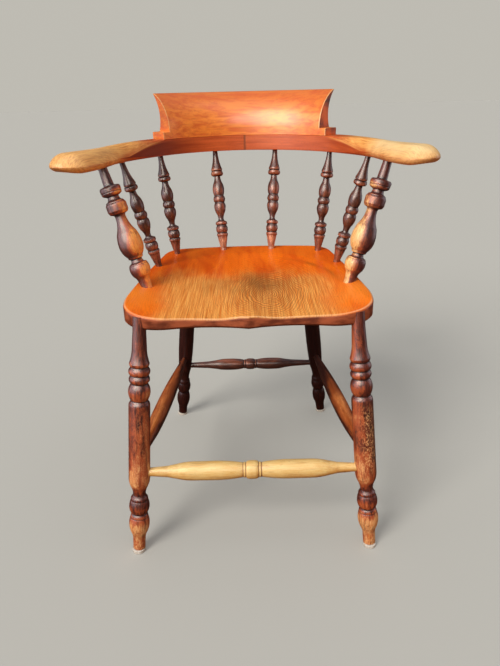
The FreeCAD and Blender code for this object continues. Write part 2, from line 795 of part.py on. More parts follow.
# Corners of an arm's section, as shares of the arm's width and thickness: how far each is rounded, across and
# up, where the wood is as it was made behind the crest rail, and how much wear has added at the hand. The inner
# top corner has worn to an arris instead, from which the top rises in a slant that ends level.
ARM_CORNERS = {
    "inner_bottom": ((0.03, 0.05), (0.22, 0.27)),
    "outer_bottom": ((0.06, 0.10), (0.16, 0.16)),
    "outer_top": ((0.26, 0.39), (0.25, 0.32)),
    "inner_top": ((0.03, 0.05), (0.42, 0.60)),
}
ARRIS_SLANT = 0.36
# Shares of the way from the crest rail's foot to the hand over which the wood is worn, and hand widths over
# which the arm widens into the hand.
WORN_SHARE = 0.65
WIDENING = 1.4
# How thin the round end of the hand gets and how much of that is lost at its underside.
HAND_END_THINNING = 0.8
HAND_END_LIFT = 0.375
# Sections of an arm's loft: in the round back, in the side and hand, and in the round end of the hand.
BACK_SECTIONS = 10
SIDE_SECTIONS = 12
HAND_END_SHARES = (0.30, 0.55, 0.75, 0.88, 0.96)


def arm_section(run, side, hand_run, beyond=0.0):
    """Closed outline across an arm, whose corners open out towards the hand.

    Sections with a distance beyond the centre of the hand close its round end.
    """
    point, outward = bow_point(hand_run + beyond if beyond else run)
    crest_end = size("bow_radius") * math.radians(size("crest_foot_sweep") / 2)
    worn = smooth(run, crest_end, crest_end + WORN_SHARE * (hand_run - crest_end))
    hand = smooth(run, hand_run - WIDENING * size("hand_width"), hand_run)
    width = size("arm_width") + (size("hand_width") - size("arm_width")) * hand
    full = size("arm_thickness")
    thickness = full
    if beyond:
        share = math.sqrt(1 - (beyond / (size("hand_width") / 2)) ** 2)
        width *= share
        thickness -= full * HAND_END_THINNING * (1 - share) ** 2
    base = size("arm_underside") + HAND_END_LIFT * (full - thickness)
    narrow = min(1.0, width / size("arm_width"))
    low, high = -width / 2, width / 2
    tips = {
        "inner_bottom": (low, 0.0, (0, 1), (1, 0)),
        "outer_bottom": (high, 0.0, (-1, 0), (0, 1)),
        "outer_top": (high, thickness, (0, -1), (-1, 0)),
        "inner_top": (low, thickness, (1, 0), (0, -1)),
    }

    def place(across, up):
        spot = point + outward * across
        return Vector(side * spot.x, spot.y, base + up)

    corners = []
    for corner, (across, up, enter, leave) in tips.items():
        made, wear = ARM_CORNERS[corner]
        reach = (made[0] + wear[0] * worn) * size("arm_width") * narrow
        rise = (made[1] + wear[1] * worn) * thickness
        start = (across + enter[0] * reach, up + enter[1] * rise)
        stop = (across + leave[0] * reach, up + leave[1] * rise)
        slant = ARRIS_SLANT * worn * reach if corner == "inner_top" else 0.0
        corners.append((start, (across + slant, up), stop))
    edges = []
    for (start, tip, stop), following in zip(corners, corners[1:] + corners[:1]):
        curve = Part.BezierCurve()
        curve.setPoles([place(*start), place(*tip), place(*stop)])
        curve.setWeight(2, math.sqrt(0.5))
        edges.append(curve.toShape())
        edges.append(Part.LineSegment(place(*stop), place(*following[0])).toShape())
    return Part.Wire(edges)


def build_arm(side, name):
    """Half of the arm bow, lofted from the butt joint at the back to its rounded hand."""
    hand_run = bow_length()
    bow_run = size("bow_radius") * math.radians(size("bow_turn"))
    rows = [bow_run * index / BACK_SECTIONS for index in range(BACK_SECTIONS + 1)]
    rows += [bow_run + (hand_run - bow_run) * index / SIDE_SECTIONS for index in range(1, SIDE_SECTIONS + 1)]
    sections = [arm_section(run, side, hand_run) for run in rows]
    for share in HAND_END_SHARES:
        sections.append(arm_section(hand_run, side, hand_run, share * size("hand_width") / 2))
    blank = doc.addObject("Part::Feature", f"arm_{name}_blank")
    blank.Shape = Part.makeLoft(sections, True, True)
    cutters = []
    low, high = upright_line("post", side)
    cutters.append(socket(f"arm_socket_post_{name}", "arm_post", "high", low, high, "arm_tenon"))
    for spindle in ("back", "corner", "side"):
        low, high = upright_line(f"{spindle}_spindle", side)
        cutters.append(socket(f"arm_socket_{spindle}_{name}", "spindle", "high", low, high, "arm_tenon"))
    cutters += crest_dowels(f"arm_{name}", side)
    cutters.append(joint_dowel(f"arm_{name}"))
    keep(f"arm_{name}", cut(f"arm_{name}", blank, cutters))


# Angles round the bow at which dowels pin the crest rail, and how far in from the bow's outer edge the joint
# dowel lies, in its own diameters.
DOWEL_ANGLES = (8.5, 33.0)
JOINT_DOWEL_DEPTH = 1.8


def crest_dowels(label, side):
    """Upright dowels on one side that pin the crest rail to an arm."""
    radius = size("bow_radius") - size("arm_width") / 2 + size("crest_foot_depth") / 2
    low = size("arm_underside") + size("arm_thickness") - size("crest_dowel_in_arm")
    bars = []
    for index, angle in enumerate(DOWEL_ANGLES):
        turn = math.radians(angle)
        spot = Vector(side * radius * math.sin(turn), size("bow_centre") + radius * math.cos(turn), low)
        bars.append(cylinder(f"{label}_dowel_{index}", f"{SHEET}.crest_dowel_diameter / 2",
                             f"{SHEET}.crest_dowel_in_arm + {SHEET}.crest_dowel_in_crest", spot, spot + UP))
    return bars


def joint_dowel(label):
    """Level dowel across the butt joint at the middle of the back."""
    half = size("arm_dowel_length") / 2
    outer = size("bow_centre") + size("bow_radius") + size("arm_width") / 2
    low = Vector(-half, outer - JOINT_DOWEL_DEPTH * size("arm_dowel_diameter"),
                 size("arm_underside") + size("arm_thickness") / 2)
    return cylinder(f"{label}_joint", f"{SHEET}.arm_dowel_diameter / 2", f"{SHEET}.arm_dowel_length",
                    low, low + Vector(1, 0, 0))


# The crest rail is thinnest at this share of its height, and its top edge falls this much of its thickness
# towards the front.
WAIST_SHARE = 0.40
TOP_FALL = 0.3


def build_crest():
    """The crest rail: a hollow-fronted section swept round the bow, on a foot that runs a little longer."""
    body = doc.addObject("PartDesign::Body", "crest_rail_block")
    inner = size("bow_radius") - size("arm_width") / 2
    foot_low = size("arm_underside") + size("arm_thickness")
    foot_high = foot_low + size("crest_foot_height")
    top = foot_high + size("crest_height")
    waist = foot_high + WAIST_SHARE * size("crest_height")
    tip = inner + size("crest_top_overhang")
    edge = size("crest_edge_thickness")
    outer = inner + size("crest_foot_depth")
    front_end = (tip - edge, top - TOP_FALL * edge)
    rise = front_end[1] - foot_high
    swing = front_end[0] - inner
    radius = (rise ** 2 + swing ** 2) / (2 * swing)
    angle = math.asin(rise / radius) / 2
    front_middle = (inner + radius * (1 - math.cos(angle)), foot_high + radius * math.sin(angle))
    rail = new_sketch(body, "crest_section", "YZ_Plane")
    rail.addGeometry(Part.LineSegment(Vector(inner, foot_low, 0), Vector(inner, foot_high, 0)))
    rail.addGeometry(arc_through((inner, foot_high), front_middle, front_end))
    rail.addGeometry(Part.LineSegment(Vector(*front_end, 0), Vector(tip, top, 0)))
    rail.addGeometry(arc_through((tip, top), (inner + size("crest_waist_depth"), waist), (outer, foot_high)))
    rail.addGeometry(Part.LineSegment(Vector(outer, foot_high, 0), Vector(outer, foot_low, 0)))
    rail.addGeometry(Part.LineSegment(Vector(outer, foot_low, 0), Vector(inner, foot_low, 0)))
    swept = body.newObject("PartDesign::Revolution", "crest_sweep")
    swept.Profile = rail
    swept.ReferenceAxis = (rail, ["V_Axis"])
    swept.setExpression("Angle", f"{SHEET}.crest_sweep")
    swept.Midplane = True
    foot = new_sketch(body, "crest_foot_section", "YZ_Plane")
    corners = ((inner, foot_low), (outer, foot_low), (outer, foot_high), (inner, foot_high))
    for start, stop in zip(corners, corners[1:] + corners[:1]):
        foot.addGeometry(Part.LineSegment(Vector(*start, 0), Vector(*stop, 0)))
    base = body.newObject("PartDesign::Revolution", "crest_foot")
    base.Profile = foot
    base.ReferenceAxis = (foot, ["V_Axis"])
    base.setExpression("Angle", f"{SHEET}.crest_foot_sweep")
    base.Midplane = True
    body.Tip = base
    body.Placement = FreeCAD.Placement(Vector(0, size("bow_centre"), 0), FreeCAD.Rotation())
    cutters = crest_dowels("crest_left", -1) + crest_dowels("crest_right", 1)
    keep("crest_rail", cut("crest_rail", body, cutters))
    group = doc.addObject("Part::Compound", "crest_dowel_group")
    group.Links = crest_dowels("dowel_left", -1) + crest_dowels("dowel_right", 1)
    keep("crest_dowels", group)
    keep("arm_joint_dowel", joint_dowel("arm"))


def check_document():
    """Stop if any object failed, or if a finished piece has no valid shape."""
    for item in doc.Objects:
        bad = [word for word in item.State if word in ("Invalid", "Error")]
        if bad:
            raise RuntimeError(f"{item.Label}: {bad}")
    for label, piece in nodes.items():
        if piece.Shape.isNull() or not piece.Shape.isValid() or piece.Shape.Volume <= 0:
            raise RuntimeError(f"{label} has no valid shape")


def main():
    """Build every piece, check it and write one STEP file for each."""
    write_sizes()
    sides = ((-1, "left"), (1, "right"))
    for side, name in sides:
        for end in ("front", "rear"):
            build_leg(end, side, name)
        build_stretcher("side_stretcher", "front", side, f"stretcher_{name}")
        build_upright("post", "arm_post", side, f"arm_post_{name}", "post_tenon")
        for spindle in ("back", "corner", "side"):
            build_upright(f"{spindle}_spindle", "spindle", side, f"spindle_{spindle}_{name}", "spindle_tenon")
        build_arm(side, name)
    for end in ("front", "rear"):
        build_stretcher(f"{end}_stretcher", end, -1, f"stretcher_{end}")
    build_seat()
    build_crest()
    doc.recompute()
    check_document()
    os.makedirs("parts", exist_ok=True)
    for label, piece in nodes.items():
        piece.Label = label
        piece.Shape.exportStep(f"parts/{label}.step")
        print(f"{label}: {len(piece.Shape.Solids)} solid(s), {piece.Shape.Volume / 1000:.1f} cm3")


main()
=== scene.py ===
"""Looks of a captain's chair: turned legs and spindles, a saddled seat, an arm bow and a crest rail.

Lengths in this script are millimetres until a mesh is made, where they become metres. +X is to the right of
someone who faces the chair, the chair faces -Y and +Z is up.
"""

from __future__ import annotations

import logging
import math
from dataclasses import dataclass
from enum import Enum
from typing import Callable, Iterable, NamedTuple, Sequence, Union

import bpy
import numpy as np
from mathutils import Matrix, Vector

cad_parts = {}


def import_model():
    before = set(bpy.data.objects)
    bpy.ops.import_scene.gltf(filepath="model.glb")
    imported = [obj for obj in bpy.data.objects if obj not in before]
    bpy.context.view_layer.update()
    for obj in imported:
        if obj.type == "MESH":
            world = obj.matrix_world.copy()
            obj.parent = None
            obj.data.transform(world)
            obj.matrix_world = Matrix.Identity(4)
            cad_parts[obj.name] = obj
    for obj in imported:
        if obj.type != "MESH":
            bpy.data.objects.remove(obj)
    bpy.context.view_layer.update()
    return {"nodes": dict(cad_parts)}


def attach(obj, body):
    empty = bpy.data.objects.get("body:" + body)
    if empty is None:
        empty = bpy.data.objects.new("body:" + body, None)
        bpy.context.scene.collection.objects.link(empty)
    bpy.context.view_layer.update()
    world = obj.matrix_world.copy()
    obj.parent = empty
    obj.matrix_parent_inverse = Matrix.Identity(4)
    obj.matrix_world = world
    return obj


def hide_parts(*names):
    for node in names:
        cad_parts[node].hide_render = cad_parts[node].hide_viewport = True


LOG = logging.getLogger("captains_chair")
MILLIMETRE = 0.001
BODY = "root"

Rows = Sequence[tuple[str, float, float, "Curve"]]
Marks = dict[str, np.ndarray]
Wear = Callable[[np.ndarray, np.ndarray], np.ndarray]
Colour = tuple[float, float, float, float]
Spot = tuple[float, float]
Place = tuple[float, float, float]
Material = bpy.types.Material
Socket = bpy.types.NodeSocket
Source = Union[Socket, Colour, float]


class Curve(Enum):
    """How a turned outline runs from one station to the next."""

    LINE = "line"
    SWELL = "swell"
    HOLLOW = "hollow"


class Side(Enum):
    """Left and right half of the chair, as seen from the front."""

    LEFT = -1
    RIGHT = 1


class Slot(Enum):
    """Material slots of the record."""

    ELM = "elm"
    ARM = "arm_wood"
    DARK = "dark_wood"
    PALE = "pale_wood"
    PADS = "pads"


LINE, SWELL, HOLLOW = Curve.LINE, Curve.SWELL, Curve.HOLLOW

# Stations of the turned pieces: name, share of the showing length, diameter, and curve to the next station.
FRONT_LEG: Rows = (
    ("toe", 0.0, 21.6, LINE),
    ("ankle", 0.062, 22.4, HOLLOW),
    ("foot_flare", 0.093, 28.0, SWELL),
    ("foot", 0.140, 36.6, SWELL),
    ("foot_line", 0.168, 32.8, LINE),
    ("foot_groove", 0.171, 31.2, LINE),
    ("foot_band", 0.174, 31.8, SWELL),
    ("foot_top", 0.186, 27.6, LINE),
    ("foot_neck", 0.190, 26.0, LINE),
    ("ring_edge", 0.197, 31.4, SWELL),
    ("ring", 0.222, 36.2, SWELL),
    ("ring_line", 0.249, 31.8, LINE),
    ("ring_groove", 0.253, 30.0, LINE),
    ("ring_band", 0.257, 30.6, SWELL),
    ("ring_top", 0.269, 24.8, LINE),
    ("ring_neck", 0.276, 22.2, HOLLOW),
    ("shaft_flare", 0.315, 30.0, SWELL),
    ("shaft_foot", 0.358, 37.6, LINE),
    ("shaft_top", 0.682, 36.8, SWELL),
    ("shaft_shoulder", 0.698, 31.6, LINE),
    ("ball_groove", 0.704, 29.0, SWELL),
    ("ball", 0.742, 37.6, SWELL),
    ("ball_top", 0.775, 28.6, LINE),
    ("disc_foot", 0.780, 30.4, SWELL),
    ("disc", 0.793, 35.6, SWELL),
    ("disc_top", 0.806, 32.0, LINE),
    ("disc_groove", 0.810, 29.8, LINE),
    ("bead_foot", 0.814, 33.4, SWELL),
    ("bead", 0.826, 36.6, SWELL),
    ("bead_top", 0.841, 32.4, LINE),
    ("bead_neck", 0.846, 29.8, LINE),
    ("flare_lip", 0.852, 32.8, LINE),
    ("flare", 0.860, 34.4, HOLLOW),
    ("throat", 0.925, 25.0, LINE),
    ("top", 1.0, 22.4, LINE),
)
REAR_LEG: Rows = (
    ("toe", 0.0, 20.5, LINE),
    ("ankle", 0.045, 21.0, HOLLOW),
    ("foot_flare", 0.082, 25.6, SWELL),
    ("foot", 0.128, 32.0, SWELL),
    ("foot_top", 0.172, 25.4, LINE),
    ("foot_neck", 0.179, 22.6, LINE),
    ("ring_edge", 0.188, 27.6, SWELL),
    ("ring", 0.218, 31.8, SWELL),
    ("ring_line", 0.243, 28.6, LINE),
    ("ring_groove", 0.247, 27.0, LINE),
    ("ring_band", 0.251, 27.8, SWELL),
    ("ring_top", 0.271, 23.4, LINE),
    ("ring_neck", 0.280, 21.8, HOLLOW),
    ("shaft_flare", 0.342, 29.0, SWELL),
    ("shaft", 0.530, 34.6, SWELL),
    ("top", 1.0, 27.0, LINE),
)
ARM_POST: Rows = (
    ("foot", 0.0, 20.6, LINE),
    ("stem", 0.040, 22.0, HOLLOW),
    ("bulb_flare", 0.095, 31.6, SWELL),
    ("bulb", 0.152, 37.6, SWELL),
    ("bulb_rim", 0.186, 34.6, LINE),
    ("rim_line", 0.190, 32.8, LINE),
    ("rim_band", 0.194, 33.4, LINE),
    ("rim_band_top", 0.202, 30.2, HOLLOW),
    ("bulb_neck", 0.222, 21.0, LINE),
    ("groove", 0.235, 19.4, LINE),
    ("fillet_low", 0.244, 26.4, LINE),
    ("fillet_high", 0.262, 28.2, SWELL),
    ("vase", 0.360, 43.8, SWELL),
    ("vase_mid", 0.468, 35.4, HOLLOW),
    ("vase_neck", 0.604, 18.8, LINE),
    ("cup", 0.618, 20.6, LINE),
    ("ring_foot", 0.628, 32.2, LINE),
    ("ring_low", 0.650, 37.0, LINE),
    ("ring_high", 0.697, 37.2, SWELL),
    ("ring_line", 0.715, 34.0, LINE),
    ("ring_groove", 0.719, 32.2, LINE),
    ("ring_band", 0.723, 32.8, LINE),
    ("ring_band_top", 0.731, 29.4, HOLLOW),
    ("ring_neck", 0.754, 20.8, LINE),
    ("disc_neck", 0.768, 19.8, LINE),
    ("disc_foot", 0.776, 28.0, LINE),
    ("disc_low", 0.786, 35.0, LINE),
    ("disc_line", 0.800, 36.6, LINE),
    ("disc_groove", 0.804, 35.2, LINE),
    ("disc_band", 0.808, 37.0, LINE),
    ("disc_high", 0.838, 37.2, LINE),
    ("disc_top", 0.850, 33.0, LINE),
    ("cone", 0.856, 18.6, LINE),
    ("top", 1.0, 15.6, LINE),
)
SPINDLE: Rows = (
    ("foot", 0.0, 12.6, LINE),
    ("cone", 0.138, 22.0, LINE),
    ("collar", 0.145, 24.2, LINE),
    ("collar_top", 0.163, 24.2, LINE),
    ("ball_groove", 0.170, 20.2, SWELL),
    ("ball", 0.211, 25.6, SWELL),
    ("ball_top", 0.249, 20.0, LINE),
    ("ring_low", 0.259, 25.2, LINE),
    ("ring_high", 0.281, 25.0, LINE),
    ("ring_top", 0.298, 13.2, LINE),
    ("low_neck", 0.311, 11.4, HOLLOW),
    ("low_vase_flare", 0.368, 17.4, SWELL),
    ("low_vase", 0.440, 25.2, SWELL),
    ("low_vase_top", 0.479, 20.2, SWELL),
    ("bead", 0.513, 25.4, SWELL),
    ("bead_top", 0.546, 20.0, SWELL),
    ("high_vase", 0.609, 25.2, SWELL),
    ("high_vase_flare", 0.683, 17.2, HOLLOW),
    ("high_neck", 0.740, 12.8, LINE),
    ("cap_low", 0.749, 23.4, LINE),
    ("cap", 0.763, 26.6, LINE),
    ("cap_top", 0.784, 25.0, LINE),
    ("cap_groove", 0.791, 20.0, LINE),
    ("cone_lip", 0.797, 23.8, LINE),
    ("cone_foot", 0.812, 23.6, HOLLOW),
    ("cone_top", 0.985, 10.4, LINE),
    ("top", 1.0, 10.2, LINE),
)
FRONT_STRETCHER: Rows = (
    ("middle", 0.0, 32.4, LINE),
    ("bead", 0.022, 32.2, SWELL),
    ("bead_end", 0.058, 28.6, LINE),
    ("groove", 0.063, 25.2, LINE),
    ("band", 0.068, 27.2, LINE),
    ("band_end", 0.082, 27.2, LINE),
    ("outer_groove", 0.088, 24.8, LINE),
    ("swell_end", 0.102, 26.2, SWELL),
    ("swell", 0.360, 33.4, LINE),
    ("swell_out", 0.570, 33.0, SWELL),
    ("shoulder", 0.735, 26.0, LINE),
    ("cone", 0.830, 19.4, LINE),
    ("end", 1.0, 15.4, LINE),
)
REAR_STRETCHER: Rows = (
    ("middle", 0.0, 26.6, LINE),
    ("bead", 0.022, 26.4, SWELL),
    ("bead_end", 0.066, 24.0, LINE),
    ("groove", 0.074, 20.6, LINE),
    ("band", 0.080, 22.4, LINE),
    ("band_end", 0.100, 22.4, LINE),
    ("outer_groove", 0.108, 20.0, LINE),
    ("swell_end", 0.124, 22.4, SWELL),
    ("swell", 0.310, 27.8, LINE),
    ("swell_out", 0.400, 27.4, SWELL),
    ("shoulder", 0.570, 21.4, LINE),
    ("cone", 0.700, 16.6, LINE),
    ("end", 1.0, 12.4, LINE),
)
SIDE_STRETCHER: Rows = (
    ("front", 0.0, 13.2, LINE),
    ("front_cone", 0.090, 19.0, LINE),
    ("front_taper", 0.180, 25.0, SWELL),
    ("swell", 0.400, 30.0, SWELL),
    ("rear_taper", 0.780, 22.2, LINE),
    ("rear_cone", 0.900, 17.0, LINE),
    ("end", 1.0, 13.2, LINE),
)


def smooth(value: np.ndarray | float, low: float, high: float) -> np.ndarray | float:
    """Rises gently from 0 to 1 as the value goes from low to high."""
    share = np.clip((value - low) / (high - low), 0.0, 1.0)
    return share * share * (3 - 2 * share)


def hill(value: np.ndarray | float, middle: float, width: float) -> np.ndarray | float:
    """1 at the middle of a hill, and less on both sides of it."""
    return np.exp(-(((value - middle) / width) ** 2))


# Meshes.


class MeshData(NamedTuple):
    """Points in millimetres, faces, and one list of numbers per named point attribute."""

    points: np.ndarray
    faces: list[tuple[int, ...]]
    marks: Marks


def make_piece(name: str, data: MeshData, crease: float) -> bpy.types.Object:
    """Turn mesh data into a smooth-shaded object.

    Args:
        name: name of the object and its mesh.
        data: the points, faces and point attributes.
        crease: angle in degrees above which an edge stays sharp.

    Returns:
        The new object, linked to the scene.
    """
    mesh = bpy.data.meshes.new(name)
    mesh.from_pydata([tuple(point) for point in data.points * MILLIMETRE], [], data.faces)
    for mark, values in data.marks.items():
        layer = mesh.attributes.new(mark, "FLOAT", "POINT")
        layer.data.foreach_set("value", np.asarray(values, dtype=np.float32))
    mesh.shade_smooth()
    mesh.set_sharp_from_angle(angle=math.radians(crease))
    mesh.update()
    piece = bpy.data.objects.new(name, mesh)
    bpy.context.scene.collection.objects.link(piece)
    return piece


def join_marks(rings: Sequence[Marks]) -> Marks:
    """Join what each ring of points carries into one list per mark."""
    return {mark: np.concatenate([ring[mark] for ring in rings]) for mark in rings[0]}


def grid_faces(rings: int, around: int, start: int = 0) -> list[tuple[int, ...]]:
    """Quads between closed rings of points that follow each other in one list.

    Args:
        rings: how many rings there are.
        around: how many points each ring has.
        start: index of the first point.

    Returns:
        The quads.
    """
    faces = []
    for ring in range(rings - 1):
        low = start + ring * around
        high = low + around
        for step in range(around):
            following = (step + 1) % around
            faces.append((low + step, low + following, high + following, high + step))
    return faces


def tube_faces(rings: int, around: int) -> list[tuple[int, ...]]:
    """Faces of a tube of closed rings, with one face over each end."""
    last = (rings - 1) * around
    return grid_faces(rings, around) + [tuple(range(around))[::-1], tuple(range(last, last + around))]


def run_lengths(path: np.ndarray) -> np.ndarray:
    """Distance of each point of a path from its start, measured along the path."""
    return np.r_[0.0, np.cumsum(np.linalg.norm(np.diff(path, axis=0), axis=1))]


def resample(path: np.ndarray, step: float) -> np.ndarray:
    """Spread points evenly along an open path.

    Args:
        path: the path's corners, one per row.
        step: the wished distance between points.

    Returns:
        The evenly spread points, with the path's own ends.
    """
    lengths = run_lengths(path)
    count = max(2, int(round(lengths[-1] / step)) + 1)
    places = np.linspace(0.0, lengths[-1], count)
    return np.stack([np.interp(places, lengths, path[:, column]) for column in range(path.shape[1])], axis=1)


def soften(values: np.ndarray, times: int = 1) -> np.ndarray:
    """Blend each entry of a list with its neighbours, keeping both ends.

    Args:
        values: the points of an evenly spread path, or one number per point.
        times: how often they are blended.

    Returns:
        The softened list, as long as the first.
    """
    for _ in range(times):
        values = np.concatenate([values[:1], (values[:-2] + 2 * values[1:-1] + values[2:]) / 4, values[-1:]])
    return values


# Turned pieces.

ARC_POINTS = 15
SAME_RADIUS = 1e-6


def lathe_curve(low: Spot, high: Spot, curve: Curve) -> list[Spot]:
    """Points between two stations of a turned outline.

    Args:
        low: radius and place of the lower station.
        high: radius and place of the upper station.
        curve: a line, or an arc that runs along the axis at its fat end or at its thin end.

    Returns:
        Points after the lower station, up to and with the upper one.
    """
    if curve is LINE or abs(low[0] - high[0]) < SAME_RADIUS:
        return [high]
    fat = curve is SWELL
    level, other = (low, high) if (low[0] > high[0]) == fat else (high, low)
    rise = other[1] - level[1]
    across = (level[0] ** 2 - other[0] ** 2 - rise**2) / (2 * (level[0] - other[0]))
    radius = abs(level[0] - across)
    way = 1.0 if level[0] > across else -1.0
    turn = math.asin(max(-1.0, min(1.0, rise / radius)))
    if (other[0] - across) * way < 0:
        turn = math.pi * math.copysign(1.0, rise) - turn
    angles = np.linspace(0.0, turn, ARC_POINTS)
    arc = [(across + way * radius * math.cos(angle), level[1] + radius * math.sin(angle)) for angle in angles]
    return arc[1:] if level is low else arc[::-1][1:]


@dataclass(frozen=True)
class TurnedShape:
    """A lathe outline between two tenons. Its first and its last run are straight.

    Attributes:
        rows: stations as name, share of the showing length, diameter and curve to the next one.
        length: the showing length.
        low_tenon: length of the tenon at the lower end, or 0 for none.
        high_tenon: length of the tenon at the upper end.
        mirrored: whether the rows run from the middle to one end and are mirrored.
    """

    rows: Rows
    length: float
    low_tenon: float
    high_tenon: float
    mirrored: bool = False

    # How far a tenon keeps its width into the showing length, and the distance between outline points.
    SHOULDER = 4.0
    STEP = 0.5

    def stations(self) -> list[tuple[float, float, Curve]]:
        """Stations of the whole piece, from the end of one tenon to the end of the other.

        Returns:
            Radius, place along the axis and following curve of each station.
        """
        span = self.length / 2 if self.mirrored else self.length
        rows = [(diameter / 2, share * span, curve) for _, share, diameter, curve in self.rows]
        if self.mirrored:
            pairs = reversed(list(zip(rows, rows[1:])))
            near = [(radius, span - reach, nearer[2]) for nearer, (radius, reach, _) in pairs]
            rows = near + [(radius, span + reach, curve) for radius, reach, curve in rows]
        low, high = rows[0][0], rows[-1][0]
        foot = [(low, -self.low_tenon, LINE), (low, self.SHOULDER, LINE)] if self.low_tenon else rows[:1]
        head = [(high, self.length - self.SHOULDER, LINE), (high, self.length + self.high_tenon, LINE)]
        return foot + rows[1:-1] + head

    def outline(self) -> np.ndarray:
        """Outline of the whole piece, with softened corners.

        Returns:
            Evenly spread points as radius and place along the axis.
        """
        stations = self.stations()
        path = [stations[0][:2]]
        for here, there in zip(stations, stations[1:]):
            path += lathe_curve(here[:2], there[:2], here[2])
        return soften(resample(np.array(path), self.STEP))


def thin_out(path: np.ndarray, turn: float = 2.5, reach: float = 3.0) -> np.ndarray:
    """Which points of an outline to keep so that bends stay crisp and straight runs stay light.

    Args:
        path: the outline's points.
        turn: a point is kept when the heading has turned by this many degrees since the last one kept.
        reach: a point is kept when it lies this far from the last one kept.

    Returns:
        The indices of the points to keep.
    """
    steps = np.diff(path, axis=0)
    headings = np.degrees(np.unwrap(np.arctan2(steps[:, 0], steps[:, 1])))
    kept = [0]
    for index in range(1, len(path) - 1):
        gone = np.linalg.norm(path[index] - path[kept[-1]])
        if gone >= reach or abs(headings[index] - headings[kept[-1]]) >= turn:
            kept.append(index)
    return np.array(kept + [len(path) - 1])


# How often the turns of an outline are blended before they mark ridges and grooves, and how strongly they do.
BEND_BLENDS = 4
RIDGE_GAIN = 5.0
GROOVE_GAIN = 4.0

# Wear is less where an outline faces up, because dirt settles there, and more where it stands proud, which is
# where its radius is above this share of the largest one.
SETTLED_DIRT = 0.55
PROUD_WEAR = 0.45
PROUD_FROM = 0.75

TURNED_CREASE = 55.0
STANDING_RISE = 0.5


def bend(path: np.ndarray) -> np.ndarray:
    """How sharply an outline turns at each point: positive on a ridge, negative in a groove."""
    across, along = np.diff(path, axis=0).T
    return soften(np.r_[0.0, -np.diff(np.unwrap(np.arctan2(across, along))), 0.0], BEND_BLENDS)


def round_angles(around: int) -> np.ndarray:
    """Angles of the points that go once round a piece."""
    return np.linspace(0.0, 2 * math.pi, around, endpoint=False)


def revolve(path: np.ndarray, around: int, lift: float = 0.0) -> np.ndarray:
    """Turn an outline about the +Z axis.

    Args:
        path: the outline, as radius and height.
        around: how many points go round.
        lift: how far the outline is moved up.

    Returns:
        The points, ring after ring.
    """
    angles = round_angles(around)
    radius, height = path[:, :1], np.broadcast_to(path[:, 1:] + lift, (len(path), around))
    return np.stack([radius * np.cos(angles), radius * np.sin(angles), height], axis=-1).reshape(-1, 3)


def no_scuff(share: np.ndarray, _: np.ndarray) -> np.ndarray:
    """No pale specks anywhere on a piece."""
    return np.zeros(share.shape)


def lathe(name: str, shape: TurnedShape, around: int, wear: Wear, cut_from: float,
          hollow_foot: float = 0.0, scuff: Wear = no_scuff) -> bpy.types.Object:
    """Turn a piece about its own +Z axis.

    Args:
        name: name of the piece.
        shape: its outline.
        around: how many points go round it.
        wear: gives how far the stain has worn, from the share of the length and the angle round the axis.
        cut_from: how far up the plank's pattern the piece starts, so that no two pieces show the same grain.
        hollow_foot: height below which nothing is made, for a leg that stands on its pad.
        scuff: gives how thickly pale specks lie, from the same two numbers.

    Returns:
        The piece, lying along +Z.
    """
    path = shape.outline()
    path = path[path[:, 1] >= (hollow_foot or path[0, 1])]
    kept = thin_out(path)
    turn = bend(path)[kept]
    path = path[kept]
    share = np.broadcast_to(path[:, 1:] / shape.length, (len(path), around))
    angles = np.broadcast_to(round_angles(around), share.shape)
    slope = -np.gradient(path[:, 0], run_lengths(path))
    settled = SETTLED_DIRT * np.clip(slope, 0.0, 1.0)[:, None]
    proud = PROUD_WEAR * (path[:, :1] / path[:, 0].max() - PROUD_FROM)
    marks = {
        "worn": (wear(share, angles) - settled + proud).reshape(-1),
        "ridge": np.repeat(np.clip(turn * RIDGE_GAIN, 0.0, 1.0), around),
        "groove": np.repeat(np.clip(-turn * GROOVE_GAIN, 0.0, 1.0), around),
        "scuff": scuff(share, angles).reshape(-1),
    }
    data = MeshData(revolve(path, around, cut_from), tube_faces(len(path), around), marks)
    return make_piece(name, data, TURNED_CREASE)


def stand_along(piece: bpy.types.Object, low: Vector, high: Vector, cut_from: float) -> None:
    """Lay a piece that was made along +Z from one point of the chair towards another.

    An upright piece keeps its own +X to the chair's right, and a lying one its own +Y upwards.

    Args:
        piece: the piece to place.
        low: where its lower end goes.
        high: a point that its +Z axis runs through.
        cut_from: the value that the piece was turned with.
    """
    direction = (high - low).normalized()
    if abs(direction.z) > STANDING_RISE:
        across = (Vector((1.0, 0.0, 0.0)) - direction * direction.x).normalized()
        up = direction.cross(across)
    else:
        up = (Vector((0.0, 0.0, 1.0)) - direction * direction.z).normalized()
        across = up.cross(direction)
    turn = Matrix((across, up, direction)).transposed().to_4x4()
    piece.matrix_world = Matrix.Translation((low - direction * cut_from) * MILLIMETRE) @ turn


# Materials.


def linear(value: float) -> float:
    """One channel of a screen's colour, from 0 to 255, as the amount of light."""
    share = value / 255
    return share / 12.92 if share <= 0.04045 else ((share + 0.055) / 1.055) ** 2.4


def shade(red: float, green: float, blue: float) -> Colour:
    """A colour as it is seen on a screen, each channel from 0 to 255, for a shader."""
    return linear(red), linear(green), linear(blue), 1.0


class Lie(Enum):
    """What a pattern in the wood follows: the piece's axes, a hand's line, or the run of a bent piece."""

    PIECE = "piece"
    HAND = "hand"
    RUN = "run"


